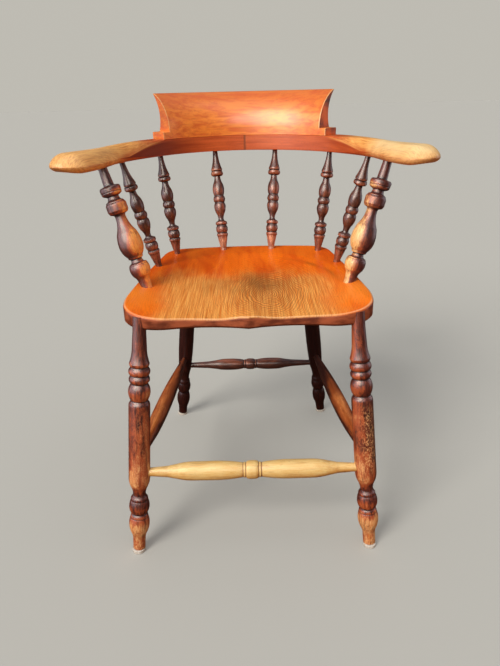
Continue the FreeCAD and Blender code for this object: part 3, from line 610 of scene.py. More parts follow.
@dataclass(frozen=True)
class Pattern:
    """A cloudy pattern in the wood.

    The stretch tells how fast it changes in each direction, slowest along the grain. The detail is the
    number of finer layers and the roughness their strength. The turn is in degrees, and the warp bends it.
    """

    stretch: Sequence[float]
    scale: float
    detail: float = 4.0
    roughness: float = 0.6
    shift: Sequence[float] = (0.0, 0.0, 0.0)
    turn: Sequence[float] = (0.0, 0.0, 0.0)
    warp: float = 0.0
    lie: Lie = Lie.PIECE


class NodeBoard:
    """Short ways to add and join the shader nodes of one material or world."""

    # Angle in degrees from the chair's +X to the line of an arm near its hand.
    HAND_HEADING = 66.0
    BUMP_STRENGTH = 0.6

    def __init__(self, owner: bpy.types.ID, output: str = "ShaderNodeOutputMaterial") -> None:
        """Empty a material or a world but for its output.

        Args:
            owner: the material or world.
            output: kind of its output node.
        """
        self.owner = owner
        owner.use_nodes = True
        self.tree = owner.node_tree
        self.tree.nodes.clear()
        self.output = self.add(output)

    def add(self, kind: str, **settings: str) -> bpy.types.Node:
        """Add a node.

        Args:
            kind: type of the node.
            settings: its properties.

        Returns:
            The new node.
        """
        node = self.tree.nodes.new(kind)
        for key, value in settings.items():
            setattr(node, key, value)
        return node

    def put(self, source: Source, socket: Socket) -> None:
        """Join a socket to an input, or write a plain value there.

        Args:
            source: the socket or the value.
            socket: the input.
        """
        if isinstance(source, Socket):
            self.tree.links.new(source, socket)
        else:
            socket.default_value = source

    def math(self, operation: str, *values: Source) -> Socket:
        """One arithmetic step.

        Args:
            operation: what is done.
            values: what it is done with.

        Returns:
            The result.
        """
        node = self.add("ShaderNodeMath", operation=operation)
        for value, socket in zip(values, node.inputs):
            self.put(value, socket)
        return node.outputs[0]

    def times(self, value: Source, factor: Source) -> Socket:
        """A number multiplied by another one."""
        return self.math("MULTIPLY", value, factor)

    def plus(self, value: Source, more: Source) -> Socket:
        """The sum of two numbers."""
        return self.math("ADD", value, more)

    def stir(self, value: Source, cloud: Socket, weight: float) -> Socket:
        """A number with a cloudy value added, which is first moved to lie about zero."""
        return self.plus(value, self.times(self.math("SUBTRACT", cloud, 0.5), weight))

    def span(self, value: Source, low: float, high: float, out_low: float = 0.0,
             out_high: float = 1.0) -> Socket:
        """Rise smoothly from one number to another while a value crosses a range.

        Args:
            value: the value.
            low: start of the range.
            high: end of the range, which may lie below its start.
            out_low: the result at the start.
            out_high: the result at the end.

        Returns:
            The result.
        """
        node = self.add("ShaderNodeMapRange", interpolation_type="SMOOTHSTEP")
        for socket, number in zip(node.inputs, (value, low, high, out_low, out_high)):
            self.put(number, socket)
        return node.outputs["Result"]

    def mix(self, share: Source, first: Source, second: Source) -> Socket:
        """Mix two colours.

        Args:
            share: share of the second colour.
            first: the first colour.
            second: the second colour.

        Returns:
            The mixed colour.
        """
        node = self.add("ShaderNodeMix", data_type="RGBA")
        self.put(share, node.inputs["Factor"])
        self.put(first, node.inputs["A"])
        self.put(second, node.inputs["B"])
        return node.outputs["Result"]

    def over(self, base: Source, top: Source, mask: Source, strength: Source) -> Socket:
        """Lay a colour over another one where a mask is high, as strongly as is wished."""
        return self.mix(self.times(mask, strength), base, top)

    def shader(self, kind: str, colour: Source) -> Socket:
        """Add a shader that only needs a colour.

        Args:
            kind: type of its node.
            colour: its colour.

        Returns:
            The shader.
        """
        node = self.add(kind)
        self.put(colour, node.inputs["Color"])
        return node.outputs[0]

    def mix_shaders(self, share: Source, first: Socket, second: Socket) -> Socket:
        """Mix two shaders.

        Args:
            share: share of the second shader.
            first: the first shader.
            second: the second shader.

        Returns:
            The mixed shader.
        """
        node = self.add("ShaderNodeMixShader")
        for source, socket in zip((share, first, second), node.inputs):
            self.put(source, socket)
        return node.outputs[0]

    def mark(self, name: str) -> Socket:
        """A number that the mesh carries at its points."""
        return self.add("ShaderNodeAttribute", attribute_name=name).outputs["Fac"]

    def place(self, stretch: Sequence[float], shift: Sequence[float],
              turn: Sequence[float] = (0.0, 0.0, 0.0)) -> Socket:
        """Object coordinates, stretched and turned so that a pattern follows the grain.

        Args:
            stretch: scale along each axis.
            shift: what is added along each axis.
            turn: angle about each axis in degrees.

        Returns:
            The coordinates.
        """
        mapping = self.add("ShaderNodeMapping")
        self.put(self.add("ShaderNodeTexCoord").outputs["Object"], mapping.inputs["Vector"])
        mapping.inputs["Scale"].default_value = stretch
        mapping.inputs["Location"].default_value = shift
        mapping.inputs["Rotation"].default_value = [math.radians(angle) for angle in turn]
        return mapping.outputs["Vector"]

    def follow(self, stretch: Sequence[float], shift: float) -> Socket:
        """Coordinates along and round a piece, from the lengths that its mesh carries.

        Args:
            stretch: scale along the piece and round it.
            shift: what is added along the piece.

        Returns:
            The coordinates.
        """
        joined = self.add("ShaderNodeCombineXYZ")
        self.put(self.math("MULTIPLY_ADD", self.mark("run"), stretch[0], shift), joined.inputs[0])
        self.put(self.times(self.mark("girth"), stretch[1]), joined.inputs[1])
        return joined.outputs[0]

    def hand_place(self, stretch: Sequence[float]) -> Socket:
        """Coordinates along, across and above an arm's line near its hand, the same on both sides.

        Args:
            stretch: scale in each of these directions.

        Returns:
            The coordinates.
        """
        parts = self.add("ShaderNodeSeparateXYZ")
        self.put(self.add("ShaderNodeTexCoord").outputs["Object"], parts.inputs[0])
        out, back = self.math("ABSOLUTE", parts.outputs["X"]), parts.outputs["Y"]
        heading = math.radians(self.HAND_HEADING)
        along = self.math("SUBTRACT", self.times(out, math.cos(heading)), self.times(back, math.sin(heading)))
        across = self.plus(self.times(out, math.sin(heading)), self.times(back, math.cos(heading)))
        joined = self.add("ShaderNodeCombineXYZ")
        for value, factor, socket in zip((along, across, parts.outputs["Z"]), stretch, joined.inputs):
            self.put(self.times(value, factor), socket)
        return joined.outputs[0]

    def pattern(self, kind: Pattern) -> Socket:
        """A cloudy value from 0 to 1.

        Args:
            kind: how the pattern lies and how fine it is.

        Returns:
            The value.
        """
        if kind.lie is Lie.HAND:
            lie = self.hand_place(kind.stretch)
        elif kind.lie is Lie.RUN:
            lie = self.follow(kind.stretch, kind.shift[0])
        else:
            lie = self.place(kind.stretch, kind.shift, kind.turn)
        node = self.add("ShaderNodeTexNoise")
        self.put(lie, node.inputs["Vector"])
        node.inputs["Scale"].default_value = kind.scale
        node.inputs["Detail"].default_value = kind.detail
        node.inputs["Roughness"].default_value = kind.roughness
        node.inputs["Distortion"].default_value = kind.warp
        return node.outputs["Fac"]

    def finish(self, colour: Socket, roughness: Source, height: Socket, depth: float, coat: Source = 0.0,
               coat_roughness: float = 0.2, specular: float = 0.5) -> Material:
        """Close the material with one principled shader and a bump.

        Args:
            colour: colour of the surface.
            roughness: its roughness.
            height: height of its relief, from 0 to 1.
            depth: depth of the relief in metres.
            coat: weight of the clear coat.
            coat_roughness: roughness of the clear coat.
            specular: specular level under the coat.

        Returns:
            The finished material.
        """
        shader = self.add("ShaderNodeBsdfPrincipled")
        self.put(colour, shader.inputs["Base Color"])
        self.put(roughness, shader.inputs["Roughness"])
        self.put(coat, shader.inputs["Coat Weight"])
        shader.inputs["Coat Roughness"].default_value = coat_roughness
        shader.inputs["Specular IOR Level"].default_value = specular
        bump = self.add("ShaderNodeBump")
        bump.inputs["Strength"].default_value = self.BUMP_STRENGTH
        bump.inputs["Distance"].default_value = depth
        self.put(height, bump.inputs["Height"])
        self.put(bump.outputs["Normal"], shader.inputs["Normal"])
        self.put(shader.outputs["BSDF"], self.output.inputs["Surface"])
        return self.owner


@dataclass(frozen=True)
class TurnedFinish:
    """Stain on a turned piece, worn through amber to bare wood in patches.

    The gloss is the roughness of the stain, the blotch tells how strongly patches vary, the shine is the
    specular level of the wood and the polish the weight of its clear coat.
    """

    name: str
    stain: Colour
    thin_stain: Colour
    amber: Colour
    bare: Colour
    bare_light: Colour
    # Dark dirt for streaks and specks, which is also laid into the grooves as painted shade.
    dirt_and_groove_shade: Colour = shade(24, 9, 7)
    gloss: float = 0.42
    blotch: float = 1.0
    shine: float = 0.3
    polish: float = 0.8

    FIBRE = Pattern((1.0, 1.0, 0.06), 620.0, roughness=0.62)
    STREAK = Pattern((1.0, 1.0, 0.09), 190.0, shift=(0.3, 0.1, 0.0))
    PATCH = Pattern((1.0, 1.0, 0.45), 60.0, detail=5.0, roughness=0.64, shift=(1.7, 0.4, 0.2))
    GRIT = Pattern((1.0, 1.0, 0.55), 520.0, detail=3.0)

    # Wear at which the stain turns to amber, and the amber to bare wood.
    TO_AMBER = (0.10, 0.46)
    TO_BARE = (0.46, 0.88)

    def build(self) -> Material:
        """Make the material.

        Returns:
            The material.
        """
        board = NodeBoard(bpy.data.materials.new(self.name))
        fibre, streak, grit = board.pattern(self.FIBRE), board.pattern(self.STREAK), board.pattern(self.GRIT)
        worn = board.plus(board.mark("worn"), board.times(board.mark("ridge"), 0.22))
        worn = board.stir(worn, board.pattern(self.PATCH), 1.5 * self.blotch)
        worn = board.stir(worn, streak, 0.65)
        worn = board.stir(worn, grit, 0.6 * self.blotch)
        stain = board.mix(board.span(fibre, 0.36, 0.64), self.stain, self.thin_stain)
        bare = board.mix(board.span(fibre, 0.34, 0.62), self.bare, self.bare_light)
        colour = board.mix(board.span(worn, *self.TO_AMBER), stain, self.amber)
        colour = board.mix(board.span(worn, *self.TO_BARE), colour, bare)
        colour = board.over(colour, self.dirt_and_groove_shade, board.span(streak, 0.47, 0.32), 0.5 * self.blotch)
        colour = board.over(colour, self.dirt_and_groove_shade, board.span(grit, 0.60, 0.72), 0.30)
        colour = board.over(colour, self.bare_light, board.mark("scuff"), board.span(grit, 0.50, 0.60))
        # Painted shade: the grooves are darkened nearly to this dark colour.
        colour = board.over(colour, self.dirt_and_groove_shade, board.mark("groove"), 0.92)
        roughness = board.span(worn, 0.2, 0.9, self.gloss - 0.06, self.gloss + 0.18)
        height = board.plus(board.times(fibre, 0.6), board.times(streak, 0.5))
        coat = board.span(worn, 0.30, 0.80, self.polish, 0.55 * self.polish)
        return board.finish(colour, roughness, height, depth=0.00025, coat=coat, coat_roughness=0.36,
                            specular=self.shine)


@dataclass(frozen=True)
class SeatFinish:
    """Waxed elm board: orange at the back and corners, worn to golden tan in the middle and front."""

    name: str = "elm_board"
    deep: Colour = shade(226, 86, 4)
    orange: Colour = shade(252, 118, 12)
    corner: Colour = shade(255, 142, 44)
    tan: Colour = shade(220, 122, 40)
    pale: Colour = shade(255, 180, 90)
    brown: Colour = shade(120, 58, 18)
    # The smudge colour is also laid over the lower chamfer and the underside as painted shade.
    smudge: Colour = shade(96, 50, 18)
    edge: Colour = shade(176, 92, 58)
    deep_edge: Colour = shade(112, 52, 32)
    worn_edge: Colour = shade(244, 206, 156)

    FINE = Pattern((1.0, 0.022, 0.3), 560.0, detail=5.0, roughness=0.62, turn=(0, 0, 3))
    STRIPES = Pattern((1.0, 0.030, 0.3), 320.0, shift=(0.4, 0.2, 0), turn=(0, 0, 4), warp=0.1)
    BROAD = Pattern((1.0, 0.28, 0.6), 26.0, shift=(0.4, 0.2, 0), turn=(0, 0, 5), warp=0.5)
    CLOUD = Pattern((1.0, 1.0, 1.0), 14.0, roughness=0.55, shift=(2.0, 1.0, 0.0))
    PORES = Pattern((1.0, 0.22, 1.0), 620.0, detail=2.0, roughness=0.5, shift=(0.0, 3.0, 0.0))
    WOBBLE = Pattern((1.0, 0.6, 0.0), 16.0, detail=3.0, roughness=0.5)
    SIDE_GRAIN = Pattern((0.35, 1.0, 1.0), 60.0)

    # Growth rings: their middle, how often they follow each other, their wobble, and how far they show.
    RING_STRETCH = (1.0, 0.55, 0.0)
    RING_MIDDLE = (-0.038, 0.043, 0.0)
    RING_RATE = 1500.0
    RING_WOBBLE = 0.034
    RING_REACH = (0.115, 0.012)

    def rings(self, board: NodeBoard) -> Socket:
        """Growth rings that close round a place near the middle of the board.

        Args:
            board: the material's nodes.

        Returns:
            How strongly a ring shows.
        """
        length = board.add("ShaderNodeVectorMath", operation="LENGTH")
        board.put(board.place(self.RING_STRETCH, self.RING_MIDDLE), length.inputs[0])
        distance = length.outputs["Value"]
        radius = board.plus(distance, board.times(board.pattern(self.WOBBLE), self.RING_WOBBLE))
        rings = board.math("SINE", board.times(radius, self.RING_RATE))
        near = board.span(distance, *self.RING_REACH)
        return board.times(board.plus(0.08, board.times(near, 0.55)), board.span(rings, -0.3, 0.9))

    def build(self) -> Material:
        """Make the material.

        Returns:
            The material.
        """
        board = NodeBoard(bpy.data.materials.new(self.name))
        kinds = (self.FINE, self.STRIPES, self.BROAD, self.CLOUD, self.PORES)
        fine, stripes, broad, cloud, pores = [board.pattern(kind) for kind in kinds]
        worn = board.mark("worn")
        for mist, weight in ((cloud, 0.75), (broad, 0.65), (stripes, 0.35)):
            worn = board.stir(worn, mist, weight)
        share = board.span(worn, 0.10, 0.95)
        waxed = board.mix(board.span(broad, 0.34, 0.62), self.deep, self.orange)
        waxed = board.over(waxed, self.deep, board.span(stripes, 0.50, 0.36), 0.25)
        waxed = board.mix(board.mark("corner"), waxed, self.corner)
        bare = board.mix(board.span(fine, 0.33, 0.67), self.tan, self.pale)
        bare = board.over(bare, self.brown, board.span(stripes, 0.52, 0.36), 0.24)
        colour = board.mix(share, waxed, bare)
        colour = board.mix(self.rings(board), colour, self.brown)
        colour = board.over(colour, self.brown, board.span(pores, 0.60, 0.72), 0.30)
        smudged = board.span(cloud, 0.30, 0.60, 0.20, 0.60)
        colour = board.over(colour, self.smudge, board.mark("smudge"), smudged)
        creased = board.span(broad, 0.40, 0.60, 0.10, 0.45)
        colour = board.over(colour, self.smudge, board.mark("crease"), creased)
        side = board.mix(board.span(board.pattern(self.SIDE_GRAIN), 0.36, 0.64), self.deep_edge, self.edge)
        colour = board.mix(board.mark("side"), colour, side)
        rubbed = board.span(cloud, 0.35, 0.6, 0.35, 0.62)
        colour = board.over(colour, self.worn_edge, board.mark("ridge"), rubbed)
        # Painted shade: the lower chamfer and the underside are darkened with the smudge colour.
        colour = board.over(colour, self.smudge, board.mark("under"), 0.85)
        roughness = board.span(share, 0.0, 1.0, 0.30, 0.46)
        height = board.plus(board.times(fine, 0.5), board.times(pores, -0.5))
        return board.finish(colour, roughness, height, depth=0.0002, coat=0.12, coat_roughness=0.14,
                            specular=0.12)


@dataclass(frozen=True)
class BowFinish:
    """Waxed wood of the arms and the crest rail, orange where it is kept and pale where hands wore it.

    Cream is the wood that hands have bleached most. Dark wax and shade darkens the arms' kept wood a little
    and their inner faces more, the left arm's most of all, and the upper part of the crest rail: on the inner
    faces and the crest rail it is painted shade. Where the grain doesn't run along the piece, it lies level.
    The gloss is the roughness, the shine the specular level, and the polish the weight of the clear coat on
    kept and on worn wood.
    """

    name: str
    deep: Colour
    orange: Colour
    worn: Colour
    pale: Colour
    cream: Colour
    brown: Colour
    end_grain_and_shade: Colour
    dark: Colour
    along: bool
    gloss: float
    shine: float
    polish: tuple[float, float]

    HAND_GRAIN = Pattern((0.045, 1.0, 0.5), 520.0, warp=0.1, lie=Lie.HAND)
    HAND_FIGURE = Pattern((0.07, 1.0, 0.6), 90.0, warp=0.2, lie=Lie.HAND)
    RUN_FIGURE = Pattern((0.08, 1.0), 110.0, detail=3.0, roughness=0.55, shift=(0.7,), warp=0.1, lie=Lie.RUN)
    LEVEL_GRAIN = Pattern((0.10, 0.5, 1.0), 420.0, roughness=0.62, turn=(0.0, 32.0, 0.0), warp=0.2)
    LEVEL_FIGURE = Pattern((0.14, 0.6, 1.0), 130.0, roughness=0.62, shift=(0.7, 0.1, 0.3),
                           turn=(0.0, 32.0, 0.0), warp=0.4)
    CLOUD = Pattern((1.0, 1.0, 1.0), 22.0, roughness=0.55, shift=(2.0, 1.0, 0.0))
    PORES = Pattern((0.5, 0.5, 1.0), 800.0, detail=2.0, roughness=0.5)

    def build(self) -> Material:
        """Make the material.

        Returns:
            The material.
        """
        board = NodeBoard(bpy.data.materials.new(self.name))
        if self.along:
            kinds = (self.HAND_GRAIN, self.HAND_FIGURE, self.RUN_FIGURE)
            grain, figure, kept = [board.pattern(kind) for kind in kinds]
        else:
            grain, figure = board.pattern(self.LEVEL_GRAIN), board.pattern(self.LEVEL_FIGURE)
            kept = figure
        cloud, pores = board.pattern(self.CLOUD), board.pattern(self.PORES)
        worn = board.stir(board.mark("worn"), cloud, 0.6)
        worn = board.stir(worn, figure, 0.35)
        share = board.span(worn, 0.15, 0.85)
        waxed = board.mix(board.span(kept, 0.32, 0.66), self.deep, self.orange)
        # Painted shade mixed with a little darker wax: the arms' inner faces and the top of the crest rail are
        # darkened.
        waxed = board.over(waxed, self.dark, board.mark("dark"), 0.92)
        bare = board.mix(board.span(grain, 0.36, 0.64), self.worn, self.pale)
        bare = board.over(bare, self.worn, board.span(figure, 0.50, 0.34), 0.30)
        bare = board.over(bare, self.cream, board.mark("cream"), board.span(cloud, 0.25, 0.60, 0.55, 1.0))
        colour = board.mix(share, waxed, bare)
        colour = board.over(colour, self.brown, board.span(grain, 0.46, 0.32), 0.16)
        colour = board.over(colour, self.brown, board.span(pores, 0.62, 0.74), 0.22)
        # End grain of the crest rail's sawn ends, with painted shade where its right end takes this colour
        # fully.
        sawn = board.mix(board.span(cloud, 0.35, 0.65), self.end_grain_and_shade, self.deep)
        colour = board.mix(board.mark("cap"), colour, sawn)
        colour = board.over(colour, self.brown, board.mark("groove"), 0.85)
        # A pale line: worn arris on the arms, and painted highlight along the edges of the crest rail's ends.
        colour = board.over(colour, self.pale, board.mark("ridge"), 0.75)
        roughness = board.span(share, 0.0, 1.0, self.gloss, self.gloss + 0.12)
        height = board.plus(board.times(grain, 0.5), board.times(figure, 0.6))
        uncapped = board.span(board.mark("cap"), 0.0, 0.3, 1.0, 0.0)
        coat = board.times(board.span(share, 0.0, 1.0, *self.polish), uncapped)
        coat = board.times(coat, board.span(board.mark("dark"), 0.0, 1.0, 1.0, 0.25))
        return board.finish(colour, roughness, height, depth=0.0002, coat=coat, coat_roughness=0.28,
                            specular=self.shine)


@dataclass(frozen=True)
class PlainFinish:
    """Matt, slightly mottled material for small pieces."""

    name: str
    colour: Colour
    shadow: Colour
    roughness: float = 0.6

    MOTTLE = Pattern((1.0, 1.0, 1.0), 260.0, detail=3.0)

    def build(self) -> Material:
        """Make the material.

        Returns:
            The material.
        """
        board = NodeBoard(bpy.data.materials.new(self.name))
        mottle = board.pattern(self.MOTTLE)
        colour = board.mix(board.span(mottle, 0.35, 0.65), self.shadow, self.colour)
        return board.finish(colour, self.roughness, mottle, depth=0.0002)


# Lines of the chair.


@dataclass(frozen=True)
class ChairLines:
    """Where the legs, posts and spindles run, in millimetres."""

    seat_top: float = 445.0
    seat_thickness: float = 32.0
    arm_underside: float = 650.0
    arm_thickness: float = 31.0
    front_foot: tuple[float, float] = (211.2, -259.5)
    front_top: tuple[float, float] = (180.0, -194.0)
    rear_foot: tuple[float, float] = (179.8, 208.0)
    rear_top: tuple[float, float] = (128.2, 146.2)
    front_stretcher: float = 156.0
    rear_stretcher: float = 151.0
    side_stretcher_front: float = 181.0
    side_stretcher_rear: float = 175.0

    def leg(self, front: bool, side: Side) -> tuple[Vector, Vector]:
        """Axis of a leg.

        Args:
            front: whether it is a front leg.
            side: its side of the chair.

        Returns:
            The axis's point on the floor and its point under the seat.
        """
        foot = self.front_foot if front else self.rear_foot
        top = self.front_top if front else self.rear_top
        under = self.seat_top - self.seat_thickness
        return Vector((side.value * foot[0], foot[1], 0.0)), Vector((side.value * top[0], top[1], under))

    def on_leg(self, front: bool, side: Side, height: float) -> Vector:
        """Point of a leg's axis at a height above the floor."""
        foot, top = self.leg(front, side)
        return foot + (top - foot) * (height / top.z)


@dataclass(frozen=True)
class BowLine:
    """Middle line of the arm bow: a round back, a straighter side and a hand that curls outwards."""

    centre: float = 9.5
    radius: float = 237.0
    turn: float = 55.0
    side_radius: float = 369.0
    side_turn: float = 23.8
    hand_radius: float = 271.0
    hand_turn: float = 19.4
    # Angle of the whole round back that the foot of the crest rail takes.
    crest_turn: float = 99.6

    def arcs(self) -> tuple[tuple[float, float, int], ...]:
        """Radius, turn in radians and way of each arc."""
        return (
            (self.radius, math.radians(self.turn), 1),
            (self.side_radius, math.radians(self.side_turn), 1),
            (self.hand_radius, math.radians(self.hand_turn), -1),
        )

    def length(self) -> float:
        """Length up to the middle of the hand."""
        return sum(radius * turn for radius, turn, _ in self.arcs())

    def crest_end(self) -> float:
        """Length up to the end of the crest rail's foot."""
        return self.radius * math.radians(self.crest_turn / 2)

    def at(self, run: float, off_middle: float = 0.0) -> tuple[np.ndarray, np.ndarray]:
        """Point of the right-hand line and its outward direction.

        Args:
            run: distance along the line from the middle of the back.
            off_middle: distance outwards from the line.

        Returns:
            The point and the unit vector that points outwards.
        """
        point = np.array([0.0, self.centre + self.radius])
        heading = 0.0
        arcs = self.arcs()
        for index, (radius, turn, way) in enumerate(arcs):
            outward = np.array([math.sin(heading), math.cos(heading)])
            centre = point - outward * radius * way
            last = index == len(arcs) - 1
            swept = run / radius if last else min(run / radius, turn)
            heading += way * swept
            outward = np.array([math.sin(heading), math.cos(heading)])
            point = centre + outward * radius * way
            run -= radius * turn
            if run <= 0:
                break
        return point + outward * off_middle, outward


LINES = ChairLines()
BOW = BowLine()


# Sub-assemblies.


def dress(piece: bpy.types.Object, node: str, material: Material) -> None:
    """Give a piece its material and its body, and hide the node that it stands for.

    Args:
        piece: the piece.
        node: the node that it stands for.
        material: its material.
    """
    piece.data.materials.append(material)
    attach(piece, BODY)
    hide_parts(node)
    LOG.info("%s: %d faces", piece.name, len(piece.data.polygons))


@dataclass(frozen=True)
class LegWear:
    """How far the stain of a front leg has worn, and where pale specks lie on it.

    The first number is the angle in degrees of the side that is rubbed most. The lean is what that side has
    more above the foot and the other side less, and the flare is the same just below the seat.
    """

    rubbed: float
    overall: float
    foot: float
    ball: float
    lean: float
    flare: float
    specks: float

    # What is added on the shaft, how thickly specks lie on the foot, and the angle that they face.
    SHAFT = 0.36
    FOOT_SPECKS = 0.55
    SPECKS_FACE = -66.0

    def wear(self, share: np.ndarray, angle: np.ndarray) -> np.ndarray:
        """How far the stain has worn.

        Args:
            share: share of the length at each point.
            angle: angle round the axis at each point.

        Returns:
            The wear at each point.
        """
        facing = np.cos(angle - math.radians(self.rubbed))
        foot = smooth(share, 0.26, 0.12) * self.foot
        shaft = smooth(share, 0.56, 0.36) * smooth(share, 0.27, 0.33)
        ball = hill(share, 0.728, 0.022) * self.ball
        lean = smooth(share, 0.26, 0.34) * self.lean
        flare = self.flare * facing * smooth(share, 0.84, 0.90)
        return self.overall + foot + self.SHAFT * shaft + ball + lean * facing + flare

    def scuff(self, share: np.ndarray, angle: np.ndarray) -> np.ndarray:
        """How thickly pale specks lie.

        Args:
            share: share of the length at each point.
            angle: angle round the axis at each point.

        Returns:
            The thickness at each point.
        """
        foot = self.FOOT_SPECKS * smooth(share, 0.075, 0.03)
        facing = np.clip(np.cos(angle - math.radians(self.SPECKS_FACE)), 0.0, 1.0) ** 3
        shaft = smooth(share, 0.33, 0.42) * smooth(share, 0.70, 0.60)
        return foot + self.specks * facing * shaft


FRONT_LEG_WEAR = {
    Side.LEFT: LegWear(-58.0, overall=0.08, foot=0.58, ball=0.26, lean=0.14, flare=0.0, specks=0.18),
    Side.RIGHT: LegWear(200.0, overall=-0.02, foot=0.86, ball=0.08, lean=0.24, flare=0.30, specks=0.75),
}


def rear_leg_wear(side: Side) -> Wear:
    """Wear of a rear leg, which keeps its stain but for its foot and the left leg's inner side."""
    lean, inner = 0.10 if side is Side.LEFT else 0.0, math.radians(-58.0)
    return lambda share, angle: -0.28 + 0.22 * smooth(share, 0.30, 0.05) + lean * np.cos(angle - inner)


def level_wear(amount: float, above: float) -> Wear:
    """Wear of a level bar, more on its upper side and less below, where the darker underside is partly painted
    shade.
    """
    return lambda share, angle: amount + above * np.sin(angle)


def side_bar_wear(side: Side) -> Wear:
    """Wear of a side stretcher: least below, which is partly painted shade, and at the rear, most of all on
    the right one.
    """
    rear = 0.42 if side is Side.RIGHT else 0.14
    return lambda share, angle: -0.04 + 0.62 * np.sin(angle) - rear * smooth(share, 0.35, 0.75)


def post_wear(side: Side) -> Wear:
    """Wear of an arm post, whose inner side is rubbed bare while its outer side keeps its stain.

    Args:
        side: its side of the chair.

    Returns:
        What gives the wear.
    """
    inner = math.radians(-25.0 if side is Side.LEFT else 205.0)

    def wear(share: np.ndarray, angle: np.ndarray) -> np.ndarray:
        """How far the stain has worn.

        Args:
            share: share of the length at each point.
            angle: angle round the axis at each point.

        Returns:
            The wear at each point.
        """
        facing = smooth(np.cos(angle - inner), 0.05, 1.1)
        disc = smooth(share, 0.60, 0.64)
        neck = smooth(share, 0.80, 0.84)
        return -0.04 + 0.95 * facing * (1.0 - 0.40 * disc - 0.50 * neck) - 0.06 * neck

    return wear


def spindle_wear(place: str, side: Side) -> Wear:
    """Wear of a spindle, whose foot shows red wood, most of all at the back.

    Args:
        place: where it stands on its side of the chair.
        side: its side of the chair.

    Returns:
        What gives the wear.
    """
    body, foot = (0.26, 0.50) if place == "back" else (0.16, 0.25)
    inner = math.radians(90.0 - 60.0 * side.value)
    return lambda share, angle: body + foot * smooth(share, 0.17, 0.10) + 0.12 * np.cos(angle - inner)


